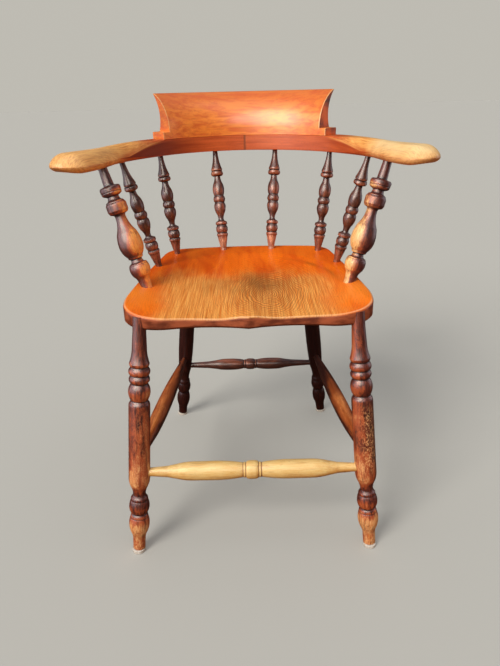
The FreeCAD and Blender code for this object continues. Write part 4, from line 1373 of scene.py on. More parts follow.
@dataclass
class Underframe:
    """Legs, foot pads and stretchers."""

    around: int = 48
    leg_tenon: float = 22.0
    stretcher_tenon: float = 13.0
    pad_thickness: float = 6.5
    pad_diameter: float = 23.0
    pad_rim: float = 0.8
    pad_top_rim: float = 0.4
    pad_core: float = 0.2
    pad_step: float = 0.4
    pad_crease: float = 50.0
    # Wear of the front and the rear stretcher, and what their upper sides have more; less below is partly
    # painted shade.
    front_bar_wear: tuple[float, float] = (0.72, 0.30)
    rear_bar_wear: tuple[float, float] = (0.0, 0.18)
    # Where the pieces are cut from the plank, so that no two show the same grain.
    leg_cut: float = 900.0
    front_leg_cut: float = 450.0
    cross_cuts: tuple[float, float] = (2400.0, 2800.0)
    side_cut: float = 3200.0
    side_cut_gap: float = 400.0

    def leg_radius(self, front: bool, height: float) -> float:
        """Radius of a leg's outline at a height above the floor."""
        _, shares, diameters, _ = zip(*(FRONT_LEG if front else REAR_LEG))
        return float(np.interp(height / LINES.leg(front, Side.RIGHT)[1].z, shares, diameters)) / 2

    def build(self, turned: dict[str, Material], pads: Material) -> None:
        """Make and dress every piece below the seat.

        Args:
            turned: finishes by name.
            pads: the pads' material.
        """
        for side in Side:
            name = side.name.lower()
            for front in (True, False):
                end = "front" if front else "rear"
                self.build_leg(front, side, f"leg_{end}_{name}", turned[f"{end}_leg"])
                self.build_pad(front, side, f"foot_pad_{end}_{name}", pads)
            self.build_side_stretcher(side, f"stretcher_{name}", turned["side_stretcher"])
        self.build_cross_stretcher(True, turned["front_stretcher"])
        self.build_cross_stretcher(False, turned["rear_stretcher"])

    def build_leg(self, front: bool, side: Side, node: str, material: Material) -> None:
        """Make and dress one leg, which starts on top of its pad.

        Args:
            front: whether it is a front leg.
            side: its side of the chair.
            node: the node that it stands for.
            material: its material.
        """
        foot, top = LINES.leg(front, side)
        shape = TurnedShape(FRONT_LEG if front else REAR_LEG, (top - foot).length, 0.0, self.leg_tenon)
        cut_from = self.leg_cut * (1 + side.value) + (self.front_leg_cut if front else 0.0)
        wear = FRONT_LEG_WEAR[side].wear if front else rear_leg_wear(side)
        scuff = FRONT_LEG_WEAR[side].scuff if front else no_scuff
        leg = lathe(f"{node}_wood", shape, self.around, wear, cut_from, self.pad_thickness, scuff)
        stand_along(leg, foot, top, cut_from)
        dress(leg, node, material)

    def build_pad(self, front: bool, side: Side, node: str, material: Material) -> None:
        """Make and dress one thin pad with eased rims.

        Args:
            front: whether it is under a front leg.
            side: its side of the chair.
            node: the node that it stands for.
            material: its material.
        """
        radius = self.pad_diameter / 2
        thickness = self.pad_thickness
        corner_points = [(self.pad_core, 0.0), (radius - self.pad_rim, 0.0), (radius, self.pad_rim),
                         (radius, thickness - self.pad_top_rim), (radius - self.pad_top_rim, thickness),
                         (self.pad_core, thickness)]
        path = resample(np.array(corner_points), self.pad_step)
        data = MeshData(revolve(path, self.around), tube_faces(len(path), self.around), {})
        pad = make_piece(f"{node}_disc", data, self.pad_crease)
        foot, _ = LINES.leg(front, side)
        pad.matrix_world = Matrix.Translation(foot * MILLIMETRE)
        dress(pad, node, material)

    def build_cross_stretcher(self, front: bool, material: Material) -> None:
        """Make and dress the stretcher between the two front or the two rear legs.

        Args:
            front: whether it is the front one.
            material: its material.
        """
        height = LINES.front_stretcher if front else LINES.rear_stretcher
        left = LINES.on_leg(front, Side.LEFT, height)
        right = LINES.on_leg(front, Side.RIGHT, height)
        inset = self.leg_radius(front, height)
        start = left + Vector((inset, 0.0, 0.0))
        rows = FRONT_STRETCHER if front else REAR_STRETCHER
        length = (right - left).length - 2 * inset
        shape = TurnedShape(rows, length, self.stretcher_tenon, self.stretcher_tenon, mirrored=True)
        node = "stretcher_front" if front else "stretcher_rear"
        cut_from = self.cross_cuts[0] if front else self.cross_cuts[1]
        wear = level_wear(*(self.front_bar_wear if front else self.rear_bar_wear))
        bar = lathe(f"{node}_wood", shape, self.around, wear, cut_from)
        stand_along(bar, start, right, cut_from)
        dress(bar, node, material)

    def build_side_stretcher(self, side: Side, node: str, material: Material) -> None:
        """Make and dress the stretcher between a front and a rear leg.

        Args:
            side: the side of the chair that it is on.
            node: the node that it stands for.
            material: its material.
        """
        front = LINES.on_leg(True, side, LINES.side_stretcher_front)
        rear = LINES.on_leg(False, side, LINES.side_stretcher_rear)
        direction = (rear - front).normalized()
        near = self.leg_radius(True, LINES.side_stretcher_front)
        far = self.leg_radius(False, LINES.side_stretcher_rear)
        length = (rear - front).length - near - far
        shape = TurnedShape(SIDE_STRETCHER, length, self.stretcher_tenon, self.stretcher_tenon)
        cut_from = self.side_cut + self.side_cut_gap * side.value
        bar = lathe(f"{node}_wood", shape, self.around, side_bar_wear(side), cut_from)
        stand_along(bar, front + direction * near, rear, cut_from)
        dress(bar, node, material)


class Footing(NamedTuple):
    """Where an upright stands on the seat, out and along, and where it meets the bow, by run and inset."""

    out: float
    along: float
    run: float
    inset: float


@dataclass
class Uprights:
    """Arm posts and spindles between the seat and the arm bow."""

    around: int = 44
    post: Footing = Footing(186.7, -65.0, 416.0, 16.0)
    spindles: tuple[tuple[str, Footing], ...] = (
        ("back", Footing(52.6, 170.6, 67.8, 5.0)),
        ("corner", Footing(153.3, 146.8, 202.3, 5.0)),
        ("side", Footing(180.5, 56.5, 335.5, 13.0)),
    )
    post_tenon: float = 22.0
    spindle_tenon: float = 20.0
    arm_tenon: float = 18.0
    post_cut: float = 4200.0
    post_cut_gap: float = 400.0
    spindle_cut: float = 6000.0
    spindle_cut_gap: float = 300.0
    spindle_cut_rate: float = 3.0

    def line(self, side: Side, footing: Footing) -> tuple[Vector, Vector]:
        """Axis of an upright.

        Args:
            side: its side of the chair.
            footing: where it stands.

        Returns:
            The axis's point on the seat and its point under the arm.
        """
        point, _ = BOW.at(footing.run, -footing.inset)
        low = Vector((side.value * footing.out, footing.along, LINES.seat_top))
        return low, Vector((side.value * point[0], point[1], LINES.arm_underside))

    def build(self, turned: dict[str, Material]) -> None:
        """Make and dress the posts and spindles.

        Args:
            turned: finishes by name.
        """
        for side in Side:
            name = side.name.lower()
            low, high = self.line(side, self.post)
            shape = TurnedShape(ARM_POST, (high - low).length, self.post_tenon, self.arm_tenon)
            cut_from = self.post_cut + self.post_cut_gap * side.value
            post = lathe(f"arm_post_{name}_wood", shape, self.around, post_wear(side), cut_from)
            stand_along(post, low, high, cut_from)
            dress(post, f"arm_post_{name}", turned[f"arm_post_{name}"])
            for place, footing in self.spindles:
                low, high = self.line(side, footing)
                shape = TurnedShape(SPINDLE, (high - low).length, self.spindle_tenon, self.arm_tenon)
                node = f"spindle_{place}_{name}"
                away = self.spindle_cut_gap + self.spindle_cut_rate * footing.run
                cut_from = self.spindle_cut + side.value * away
                spindle = lathe(f"{node}_wood", shape, self.around, spindle_wear(place, side), cut_from)
                stand_along(spindle, low, high, cut_from)
                dress(spindle, node, turned["spindle"])


class Ring(NamedTuple):
    """One ring of the seat's points, and how far it belongs to the side, the rubbed rim and the underside."""

    flat: np.ndarray
    height: np.ndarray | float
    side: float = 0.0
    ridge: float = 0.0
    under: float = 0.0

    def points(self) -> np.ndarray:
        """The ring's points in space."""
        return np.column_stack([self.flat, np.broadcast_to(self.height, len(self.flat))])


def seat_patch(across: np.ndarray, along: np.ndarray, middle: tuple[float, float],
               reach: tuple[float, float]) -> np.ndarray:
    """A patch on the seat: 1 at its middle, and less all round it."""
    return np.exp(-(((across - middle[0]) / reach[0]) ** 2) - (((along - middle[1]) / reach[1]) ** 2))


@dataclass
class Seat:
    """The saddled elm board."""

    half_width: float = 214.5
    front_edge: float = 210.0
    back_edge: float = 200.0
    rim_round: float = 5.0
    underside_chamfer: float = 5.0
    chamfer_middle: float = 3.2
    first_heading: float = 16.0
    # Name, radius as a share of the half width, and end heading in degrees of each arc of the outline's right
    # half. The two radii that are None follow from the others.
    arcs: tuple[tuple[str, float | None, float], ...] = (
        ("hollow", 1.28, -11.0),
        ("lobe", 0.42, 20.0),
        ("corner", 0.25, 80.0),
        ("hip", 0.90, 95.0),
        ("side", None, 99.0),
        ("back_corner", 0.226, 172.0),
        ("back", None, 180.0),
    )
    arc_points: int = 25
    edge_step: float = 3.6
    focus: tuple[float, float] = (0.0, -20.0)
    saddle_reach: float = 196.0
    saddle_flare: float = 18.0
    saddle_middle: float = -60.0
    saddle_back: float = 205.0
    saddle_depth: float = 16.8
    saddle_front_depth: float = 0.8
    ridge_height: float = 0.46
    ridge_width: float = 34.0
    crease: float = 35.0

    @staticmethod
    def arc_step(start: float, stop: float, radius: float = 1.0) -> np.ndarray:
        """How far an arc carries a point.

        Args:
            start: heading at its start, in degrees.
            stop: heading at its end.
            radius: its radius.

        Returns:
            The step across and along the chair.
        """
        first, last = math.radians(start), math.radians(stop)
        way = radius if stop > start else -radius
        return np.array([way * (math.sin(last) - math.sin(first)), way * (math.cos(first) - math.cos(last))])

    def edge(self) -> np.ndarray:
        """Outline of the board, from the front crease round to it again.

        Returns:
            The evenly spread points of the closed outline.
        """
        goal = np.array([0.0, self.front_edge + self.back_edge])
        heading = self.first_heading
        rows: list[list[float | None]] = []
        for _, share, turned_to in self.arcs:
            rows.append([heading, turned_to, None if share is None else share * self.half_width])
            if share is not None:
                goal = goal - self.arc_step(*rows[-1])
            heading = turned_to
        side, back = [row for row in rows if row[2] is None]
        steps = np.stack([self.arc_step(*side[:2]), self.arc_step(*back[:2])], axis=1)
        side[2], back[2] = np.linalg.solve(steps, goal)
        here = np.array([0.0, -self.front_edge])
        points = [here]
        for start, stop, radius in rows:
            for share in np.linspace(0.0, 1.0, self.arc_points)[1:]:
                points.append(here + self.arc_step(start, start + (stop - start) * share, radius))
            here = points[-1]
        half = resample(np.array(points), self.edge_step)
        return np.vstack([half, half[-2:0:-1] * np.array([-1.0, 1.0])])

    @staticmethod
    def outward(edge: np.ndarray) -> np.ndarray:
        """Unit vectors that point out of a closed outline, one at each of its points."""
        across, along = (np.roll(edge, -1, axis=0) - np.roll(edge, 1, axis=0)).T
        return np.stack([along, -across], axis=1) / np.hypot(across, along)[:, None]

    def way_out(self, across: np.ndarray, along: np.ndarray, reach: np.ndarray | float) -> np.ndarray:
        """How far out in the saddle each point lies, from 0 on its middle line to 1 at its rim."""
        back = np.maximum(along - self.saddle_middle, 0.0) / self.saddle_back
        return (across / reach) ** 2 + back**2

    def dish(self, across: np.ndarray, along: np.ndarray) -> np.ndarray:
        """How deep the saddle is scooped below the rim.

        Args:
            across: X of each point.
            along: Y of each point.

        Returns:
            The depth at each point.
        """
        reach = self.saddle_reach + self.saddle_flare * smooth(along, -130.0, -205.0)
        spot = np.clip(self.way_out(across, along, reach), 0.0, 1.0)
        power = 0.85 + 0.55 * smooth(along, -150.0, 20.0)
        ridge = self.ridge_height * hill(across, 0.0, self.ridge_width) * smooth(along, 20.0, -205.0)
        depth = self.saddle_depth + self.saddle_front_depth * smooth(along, -205.0, -80.0)
        return depth * (1.0 - spot) ** power * (1.0 - ridge)

    @staticmethod
    def wear(across: np.ndarray, along: np.ndarray) -> np.ndarray:
        """Wear of the top: bare in the middle and front, kept at the back and in the corners.

        Args:
            across: X of each point.
            along: Y of each point.

        Returns:
            The wear at each point.
        """
        side = smooth(np.abs(across) - 0.15 * along, 215.0, 120.0)
        front = smooth(along + 0.30 * np.maximum(across - 30.0, 0.0), 115.0, -70.0)
        lip = smooth(along, -165.0, -200.0)
        return np.clip(side * front + 0.30 * lip, 0.0, 1.2)

    @staticmethod
    def smudge(across: np.ndarray, along: np.ndarray) -> np.ndarray:
        """How dark the handled patch near the middle of the board is, with a fainter one round it."""
        faint = seat_patch(across, along, (8.0, -12.0), (120.0, 75.0))
        return 0.75 * seat_patch(across, along, (14.0, -24.0), (50.0, 48.0)) + 0.42 * faint

    def rim_dirt(self, across: np.ndarray, along: np.ndarray) -> np.ndarray:
        """Dirt in the line where the saddle begins, towards the back of the right-hand side."""
        line = hill(self.way_out(across, along, self.saddle_reach), 0.74, 0.05)
        return line * smooth(along, -90.0, 10.0) * smooth(across, 40.0, 130.0)

    @staticmethod
    def corner_glow(across: np.ndarray, along: np.ndarray) -> np.ndarray:
        """How bright the wax of the two front corners is."""
        return 0.85 * seat_patch(np.abs(across), along, (196.0, -108.0), (42.0, 62.0))

    def ring_marks(self, ring: Ring) -> Marks:
        """What the finish has to know at a ring of points.

        Args:
            ring: the ring.

        Returns:
            The numbers that the mesh carries there.
        """
        across, along = ring.flat[:, 0], ring.flat[:, 1]
        top = 1.0 - ring.side
        return {
            "worn": self.wear(across, along),
            "side": np.full(len(across), ring.side),
            "ridge": ring.ridge * smooth(along, -60.0, -120.0),
            "smudge": self.smudge(across, along) * top,
            # The under mark carries painted shade for the lower chamfer and the underside.
            "under": np.full(len(across), ring.under),
            "corner": self.corner_glow(across, along),
            "crease": self.rim_dirt(across, along) * top,
        }

    def rings(self) -> list[Ring]:
        """Rings of points from the middle of the top, over the rim, to the middle of the underside.

        Returns:
            The rings, all with the same number of points.
        """
        edge = self.edge()
        outward = self.outward(edge)
        inner = edge - outward * self.rim_round
        chamfered = edge - outward * self.underside_chamfer
        focus = np.array(self.focus)
        top = LINES.seat_top
        rim = top - self.dish(inner[:, 0], inner[:, 1])
        floor = top - LINES.seat_thickness
        low = floor + self.underside_chamfer
        rings = []
        for share in np.linspace(0.004, 1.0, 90):
            flat = focus + (inner - focus) * share
            rings.append(Ring(flat, top - self.dish(flat[:, 0], flat[:, 1])))
        for angle in np.linspace(0.0, 90.0, 8)[1:]:
            turn = math.radians(angle)
            flat = inner + outward * self.rim_round * math.sin(turn)
            height = rim - self.rim_round * (1.0 - math.cos(turn))
            rings.append(Ring(flat, height, smooth(angle, 35.0, 75.0), hill(angle, 30.0, 12.0)))
        for share in (0.25, 0.5, 0.75, 1.0):
            rings.append(Ring(edge, (rim - self.rim_round) * (1.0 - share) + low * share, side=1.0))
        half_way = edge - outward * 0.5 * self.underside_chamfer
        rings.append(Ring(half_way, low - self.chamfer_middle, side=1.0, under=0.7))
        for share in (1.0, 0.9, 0.6, 0.3, 0.01):
            rings.append(Ring(focus + (chamfered - focus) * share, floor, side=1.0, under=0.8))
        return rings

    def build(self, material: Material) -> None:
        """Make and dress the board.

        Args:
            material: its material.
        """
        rings = self.rings()
        points = np.vstack([ring.points() for ring in rings])
        faces = [face[::-1] for face in tube_faces(len(rings), len(rings[0].flat))]
        marks = join_marks([self.ring_marks(ring) for ring in rings])
        seat = make_piece("seat_board", MeshData(points, faces, marks), self.crease)
        dress(seat, "seat", material)


@dataclass(frozen=True)
class Ease:
    """How far an edge of an arm is rounded, across and in height, and what full wear adds to that."""

    across: float
    up: float
    worn_across: float
    worn_up: float

    def at(self, worn: float, narrow: float, tall: float) -> tuple[float, float]:
        """Reach across and in height, for a share of the wear, of the arm's width and of its thickness."""
        return (self.across + self.worn_across * worn) * narrow, (self.up + self.worn_up * worn) * tall


class Section(NamedTuple):
    """Points across an arm, as distance outwards and height, with marks for the arris and the inner face."""

    points: np.ndarray
    arris: np.ndarray
    inner_face: np.ndarray


@dataclass
class ArmBow:
    """The two halves of the arm bow, with worn and rounded hands."""

    width: float = 50.0
    hand_width: float = 72.0
    # Where a hand starts to widen, in hand widths before its middle, and the shape of its nose.
    hand_start: float = 1.4
    nose_squash: float = 0.88
    nose_lift: float = 0.42
    nose_power: float = 1.6
    nose_stop: float = 0.06
    runs: int = 120
    nose_runs: int = 22
    # Share of its width that an arm keeps at the joint, which shows as a fine line.
    joint_ease: float = 0.992
    worn_out: float = 0.80
    inner_low: Ease = Ease(1.5, 1.5, 11.0, 8.5)
    outer_low: Ease = Ease(3.0, 3.0, 8.0, 5.0)
    outer_top: Ease = Ease(13.0, 12.0, 12.5, 10.0)
    inner_top: Ease = Ease(2.0, 0.0, 21.5, 0.0)
    side_shift: float = 700.0
    crease: float = 32.0

    def size_at(self, run: float, beyond: float) -> tuple[float, float, float]:
        """Size of an arm's section.

        Args:
            run: distance along the bow.
            beyond: distance past the middle of the hand, or 0.

        Returns:
            Its width, its thickness, and how far its underside is lifted.
        """
        hand_run = BOW.length()
        hand = smooth(run, hand_run - self.hand_start * self.hand_width, hand_run)
        width = self.width + (self.hand_width - self.width) * hand
        if not beyond:
            return width, LINES.arm_thickness, 0.0
        share = math.sqrt(max(0.0, 1.0 - (beyond / (self.hand_width / 2)) ** 2))
        squash = (1.0 - share**self.nose_power) * self.nose_squash
        lift = self.nose_lift * LINES.arm_thickness * squash
        return width * share, LINES.arm_thickness * (1.0 - squash), lift

    def section(self, run: float, beyond: float) -> Section:
        """Outline across an arm, which starts at the foot of its inner face and goes round by the outer one.

        Args:
            run: distance along the bow.
            beyond: distance past the middle of the hand, or 0.

        Returns:
            The outline and its marks.
        """
        hand_run, crest_end = BOW.length(), BOW.crest_end()
        worn = smooth(run, crest_end - 4.0, hand_run - 0.35 * (hand_run - crest_end))
        width, thickness, lift = self.size_at(run, beyond)
        tall = thickness / LINES.arm_thickness
        narrow = min(1.0, width / self.width)
        low, high = -width / 2, width / 2
        inner_round = self.inner_low.at(worn, narrow, tall)
        outer_round = self.outer_low.at(worn, narrow, tall)
        outer_top = self.outer_top.at(worn, narrow, tall)
        inner_top, _ = self.inner_top.at(worn, narrow, tall)
        worn_down = self.worn_out * smooth(run, crest_end - 6.0, crest_end + 165.0)
        arris = max(thickness * (1.0 - worn_down) - 1.2 * tall, inner_round[1] + 0.8 * tall)
        fall = thickness - arris
        quarter = np.linspace(0.0, math.pi / 2, 9)
        top_quarter = np.linspace(0.0, math.pi / 2, 13)
        spots = [(low + inner_round[0] * (1 - math.sin(angle)), inner_round[1] * (1 - math.cos(angle)))
                 for angle in quarter[::-1]]
        spots += [(out, 0.0) for out in np.linspace(low + inner_round[0], high - outer_round[0], 7)[1:-1]]
        spots += [(high - outer_round[0] * (1 - math.sin(angle)), outer_round[1] * (1 - math.cos(angle)))
                  for angle in quarter]
        spots += [(high, up) for up in np.linspace(outer_round[1], thickness - outer_top[1], 4)[1:-1]]
        top_out, top_up = outer_top
        spots += [(high - top_out * (1 - math.cos(angle)), thickness - top_up * (1 - math.sin(angle)))
                  for angle in top_quarter]
        spots += [(out, thickness) for out in np.linspace(high - outer_top[0], low + inner_top, 6)[1:-1]]
        spots += [(low + inner_top * share, arris + fall * math.sin(share * math.pi / 2))
                  for share in np.linspace(1.0, 0.0, 15)]
        last_arris = len(spots) - 1
        spots += [(low, up) for up in np.linspace(arris, inner_round[1], 6)[1:-1]]
        points = np.array(spots) + np.array([0.0, lift])
        ridge = np.zeros(len(points))
        ridge[last_arris] = 1.0
        ridge[last_arris - 1] = 0.35
        inner_face = np.zeros(len(points))
        inner_face[last_arris + 1:] = 1.0
        inner_face[0] = 1.0
        return Section(points, ridge, inner_face)

    def ring_marks(self, side: Side, run: float, beyond: float, section: Section) -> Marks:
        """What the finish has to know at a ring of points.

        Args:
            side: the side of the chair.
            run: distance along the bow.
            beyond: distance past the middle of the hand, or 0.
            section: the outline there.

        Returns:
            The numbers that the mesh carries there.
        """
        flat = section.points
        left = side is Side.LEFT
        hand_run, crest_end = BOW.length(), BOW.crest_end()
        top = np.clip((flat[:, 1] - 12.0) / 12.0, 0.0, 1.0)
        along = smooth(run, crest_end - 30.0, crest_end + 150.0)
        held = smooth(run, hand_run - 150.0, hand_run - 90.0)
        kept = smooth(run, 70.0, crest_end + 30.0) * (1.0 - held)
        rubbed = smooth(run, crest_end, crest_end + 30.0) * smooth(run, crest_end + 150.0, crest_end + 90.0)
        inner_kept = 1.0 - section.inner_face * (1.0 - held)
        return {
            "worn": along * (0.30 + 0.80 * top) * inner_kept + 0.35 * held,
            "ridge": section.arris * 0.6 * rubbed,
            "groove": np.full(len(flat), 1.0 if run == 0.0 else 0.0),
            # Painted shade on the inner faces, most of all the left arm's, over a little darker wax along the
            # kept wood.
            "dark": (0.25 + 0.75 * section.inner_face) * kept * (1.0 if left else 0.25),
            "cap": np.zeros(len(flat)),
            "run": np.full(len(flat), (run + beyond + self.side_shift * side.value) * MILLIMETRE),
            "girth": run_lengths(flat) * MILLIMETRE,
            "cream": held * (0.35 + 0.5 * top) * (0.25 if left else 1.0),
        }

    def build(self, material: Material) -> None:
        """Make and dress both arms.

        Args:
            material: their material.
        """
        hand_run = BOW.length()
        reach = self.hand_width / 2
        nose = np.linspace(0.0, math.pi / 2 - self.nose_stop, self.nose_runs)[1:]
        places = [(run, 0.0) for run in np.linspace(0.0, hand_run, self.runs)]
        places += [(hand_run, reach * math.sin(angle)) for angle in nose]
        for side in Side:
            rings = []
            marks = []
            for run, beyond in places:
                section = self.section(run, beyond)
                spot, outward = BOW.at(run + beyond)
                across = section.points[:, :1] * outward * (self.joint_ease if run == 0.0 else 1.0)
                where = spot + across
                height = LINES.arm_underside + section.points[:, 1]
                rings.append(np.column_stack([side.value * where[:, 0], where[:, 1], height]))
                marks.append(self.ring_marks(side, run, beyond, section))
            faces = tube_faces(len(rings), len(rings[0]))
            if side is Side.RIGHT:
                faces = [face[::-1] for face in faces]
            name = side.name.lower()
            data = MeshData(np.vstack(rings), faces, join_marks(marks))
            arm = make_piece(f"arm_{name}_wood", data, self.crease)
            dress(arm, f"arm_{name}", material)


@dataclass
class Crest:
    """The raised back rest on its foot."""

    foot_height: float = 14.0
    height: float = 72.0
    foot_depth: float = 33.0
    waist_depth: float = 28.5
    waist_share: float = 0.40
    top_overhang: float = 46.5
    edge_thickness: float = 4.0
    edge_fall: float = 0.3
    lap: float = 3.0
    sweep: float = 90.8
    # Angles before an end at which extra rings keep it crisp, and the size of the last ring.
    end_eases: tuple[float, ...] = (0.0, 0.14, 0.5)
    end_shrink: float = 0.985
    runs: int = 110
    arc_points: int = 30
    rail_step: float = 1.6
    foot_step: float = 1.5
    crease: float = 35.0

    def arc(self, start: Sequence[float], middle: Sequence[float], stop: Sequence[float]) -> np.ndarray:
        """Arc through three points.

        Args:
            start: the first point.
            middle: the second point.
            stop: the third point.

        Returns:
            Points from the first one to the third one.
        """
        (ax, ay), (bx, by), (cx, cy) = start, middle, stop
        scale = 2 * (ax * (by - cy) + bx * (cy - ay) + cx * (ay - by))
        ux = ((ax**2 + ay**2) * (by - cy) + (bx**2 + by**2) * (cy - ay) + (cx**2 + cy**2) * (ay - by)) / scale
        uy = ((ax**2 + ay**2) * (cx - bx) + (bx**2 + by**2) * (ax - cx) + (cx**2 + cy**2) * (bx - ax)) / scale
        radius = math.hypot(ax - ux, ay - uy)
        angles = np.unwrap([math.atan2(y - uy, x - ux) for x, y in (start, middle, stop)])
        turn = np.linspace(angles[0], angles[2], self.arc_points)
        return np.stack([ux + radius * np.cos(turn), uy + radius * np.sin(turn)], axis=1)

    def rail_section(self) -> np.ndarray:
        """Section of the rail, with softened edges.

        Returns:
            Its points as radius from the bow's centre and height.
        """
        inner = BOW.radius - ArmBow.width / 2
        foot = LINES.arm_underside + LINES.arm_thickness + self.foot_height
        top = foot + self.height
        tip = inner + self.top_overhang
        outer = inner + self.foot_depth
        front_end = (tip - self.edge_thickness, top - self.edge_fall * self.edge_thickness)
        rise = front_end[1] - foot
        swing = front_end[0] - inner
        radius = (rise**2 + swing**2) / (2 * swing)
        angle = math.asin(rise / radius) / 2
        middle = (inner + radius * (1 - math.cos(angle)), foot + radius * math.sin(angle))
        waist = (inner + self.waist_depth, foot + self.waist_share * self.height)
        front = self.arc((inner, foot), middle, front_end)
        back = self.arc((tip, top), waist, (outer, foot))
        loop = np.vstack([[(inner, foot - self.lap)], front, back, [(outer, foot - self.lap)]])
        return soften(resample(loop, self.rail_step))

    def foot_section(self) -> np.ndarray:
        """Section of the foot.

        Returns:
            Its points as radius from the bow's centre and height.
        """
        inner = BOW.radius - ArmBow.width / 2
        low = LINES.arm_underside + LINES.arm_thickness
        outer = inner + self.foot_depth
        high = low + self.foot_height
        loop = np.array([(inner, low), (inner, high), (outer, high), (outer, low)])
        return soften(resample(loop, self.foot_step))

    def swept(self, section: np.ndarray, sweep: float, start: int) -> MeshData:
        """Sweep a section round the bow's centre, with end faces that have points of their own.

        Args:
            section: the section, as radius and height.
            sweep: the angle that it is swept, in degrees.
            start: index of its first point in the whole mesh.

        Returns:
            The swept mesh.
        """
        half = sweep / 2
        eases = np.array(self.end_eases)
        angles = np.r_[eases - half, np.linspace(-half, half, self.runs)[1:-1], half - eases[::-1]]
        centre = section.mean(axis=0)
        rings = []
        ridges = []
        for index, angle in enumerate(angles):
            at_end = index in (0, len(angles) - 1)
            radius, height = (centre + (section - centre) * self.end_shrink if at_end else section).T
            turn = math.radians(angle)
            across, along = radius * math.sin(turn), BOW.centre + radius * math.cos(turn)
            rings.append(np.column_stack([across, along, height]))
            # Painted highlight: a pale line along the edges at both ends of the rail.
            ridges.append(np.full(len(section), hill(abs(angle), half, 0.35)))
        around = len(section)
        sides = len(rings) * around
        first_cap = start + sides
        last_cap = first_cap + around
        faces = grid_faces(len(rings), around, start)
        faces += [tuple(range(first_cap, last_cap))[::-1], tuple(range(last_cap, last_cap + around))]
        points = np.vstack(rings + [rings[0], rings[-1]])
        none = np.zeros(len(points))
        marks = {
            "ridge": np.r_[np.concatenate(ridges), np.zeros(2 * around)],
            "worn": none,
            "groove": none,
            # Painted shade: the right end face takes the dark end grain colour fully, the left one only in
            # part.
            "cap": np.r_[np.zeros(sides), np.full(around, 0.35), np.ones(around)],
            # Painted shade: the crest rail is darker towards its top.
            "dark": 0.65 * smooth(points[:, 2], 712.0, 762.0),
            "run": none,
            "girth": none,
            "cream": none,
        }
        return MeshData(points, faces, marks)

    def build(self, material: Material) -> None:
        """Make and dress the crest rail.

        Args:
            material: its material.
        """
        rail = self.swept(self.rail_section(), self.sweep, 0)
        foot = self.swept(self.foot_section(), BOW.crest_turn, len(rail.points))
        points = np.vstack([rail.points, foot.points])
        data = MeshData(points, rail.faces + foot.faces, join_marks([rail.marks, foot.marks]))
        crest = make_piece("crest_rail_wood", data, self.crease)
        dress(crest, "crest_rail", material)


# Stage.


@dataclass(frozen=True)
class Panel:
    """A soft lamp that only polish shows, with its size and place in metres and its radiance in a mirror."""

    name: str
    size: tuple[float, float]
    radiance: float
    tint: Place
    place: Place
    facing: Place

    def build(self) -> None:
        """Hang the panel in the studio."""
        lamp = bpy.data.lights.new(self.name, "AREA")
        lamp.shape = "RECTANGLE"
        lamp.size, lamp.size_y = self.size
        lamp.energy = self.size[0] * self.size[1] * math.pi * self.radiance
        lamp.color = self.tint
        panel = bpy.data.objects.new(self.name, lamp)
        panel.location = self.place
        panel.rotation_euler = Vector(self.facing).to_track_quat("Z", "Y").to_euler()
        panel.visible_camera = False
        panel.visible_diffuse = False
        bpy.context.scene.collection.objects.link(panel)


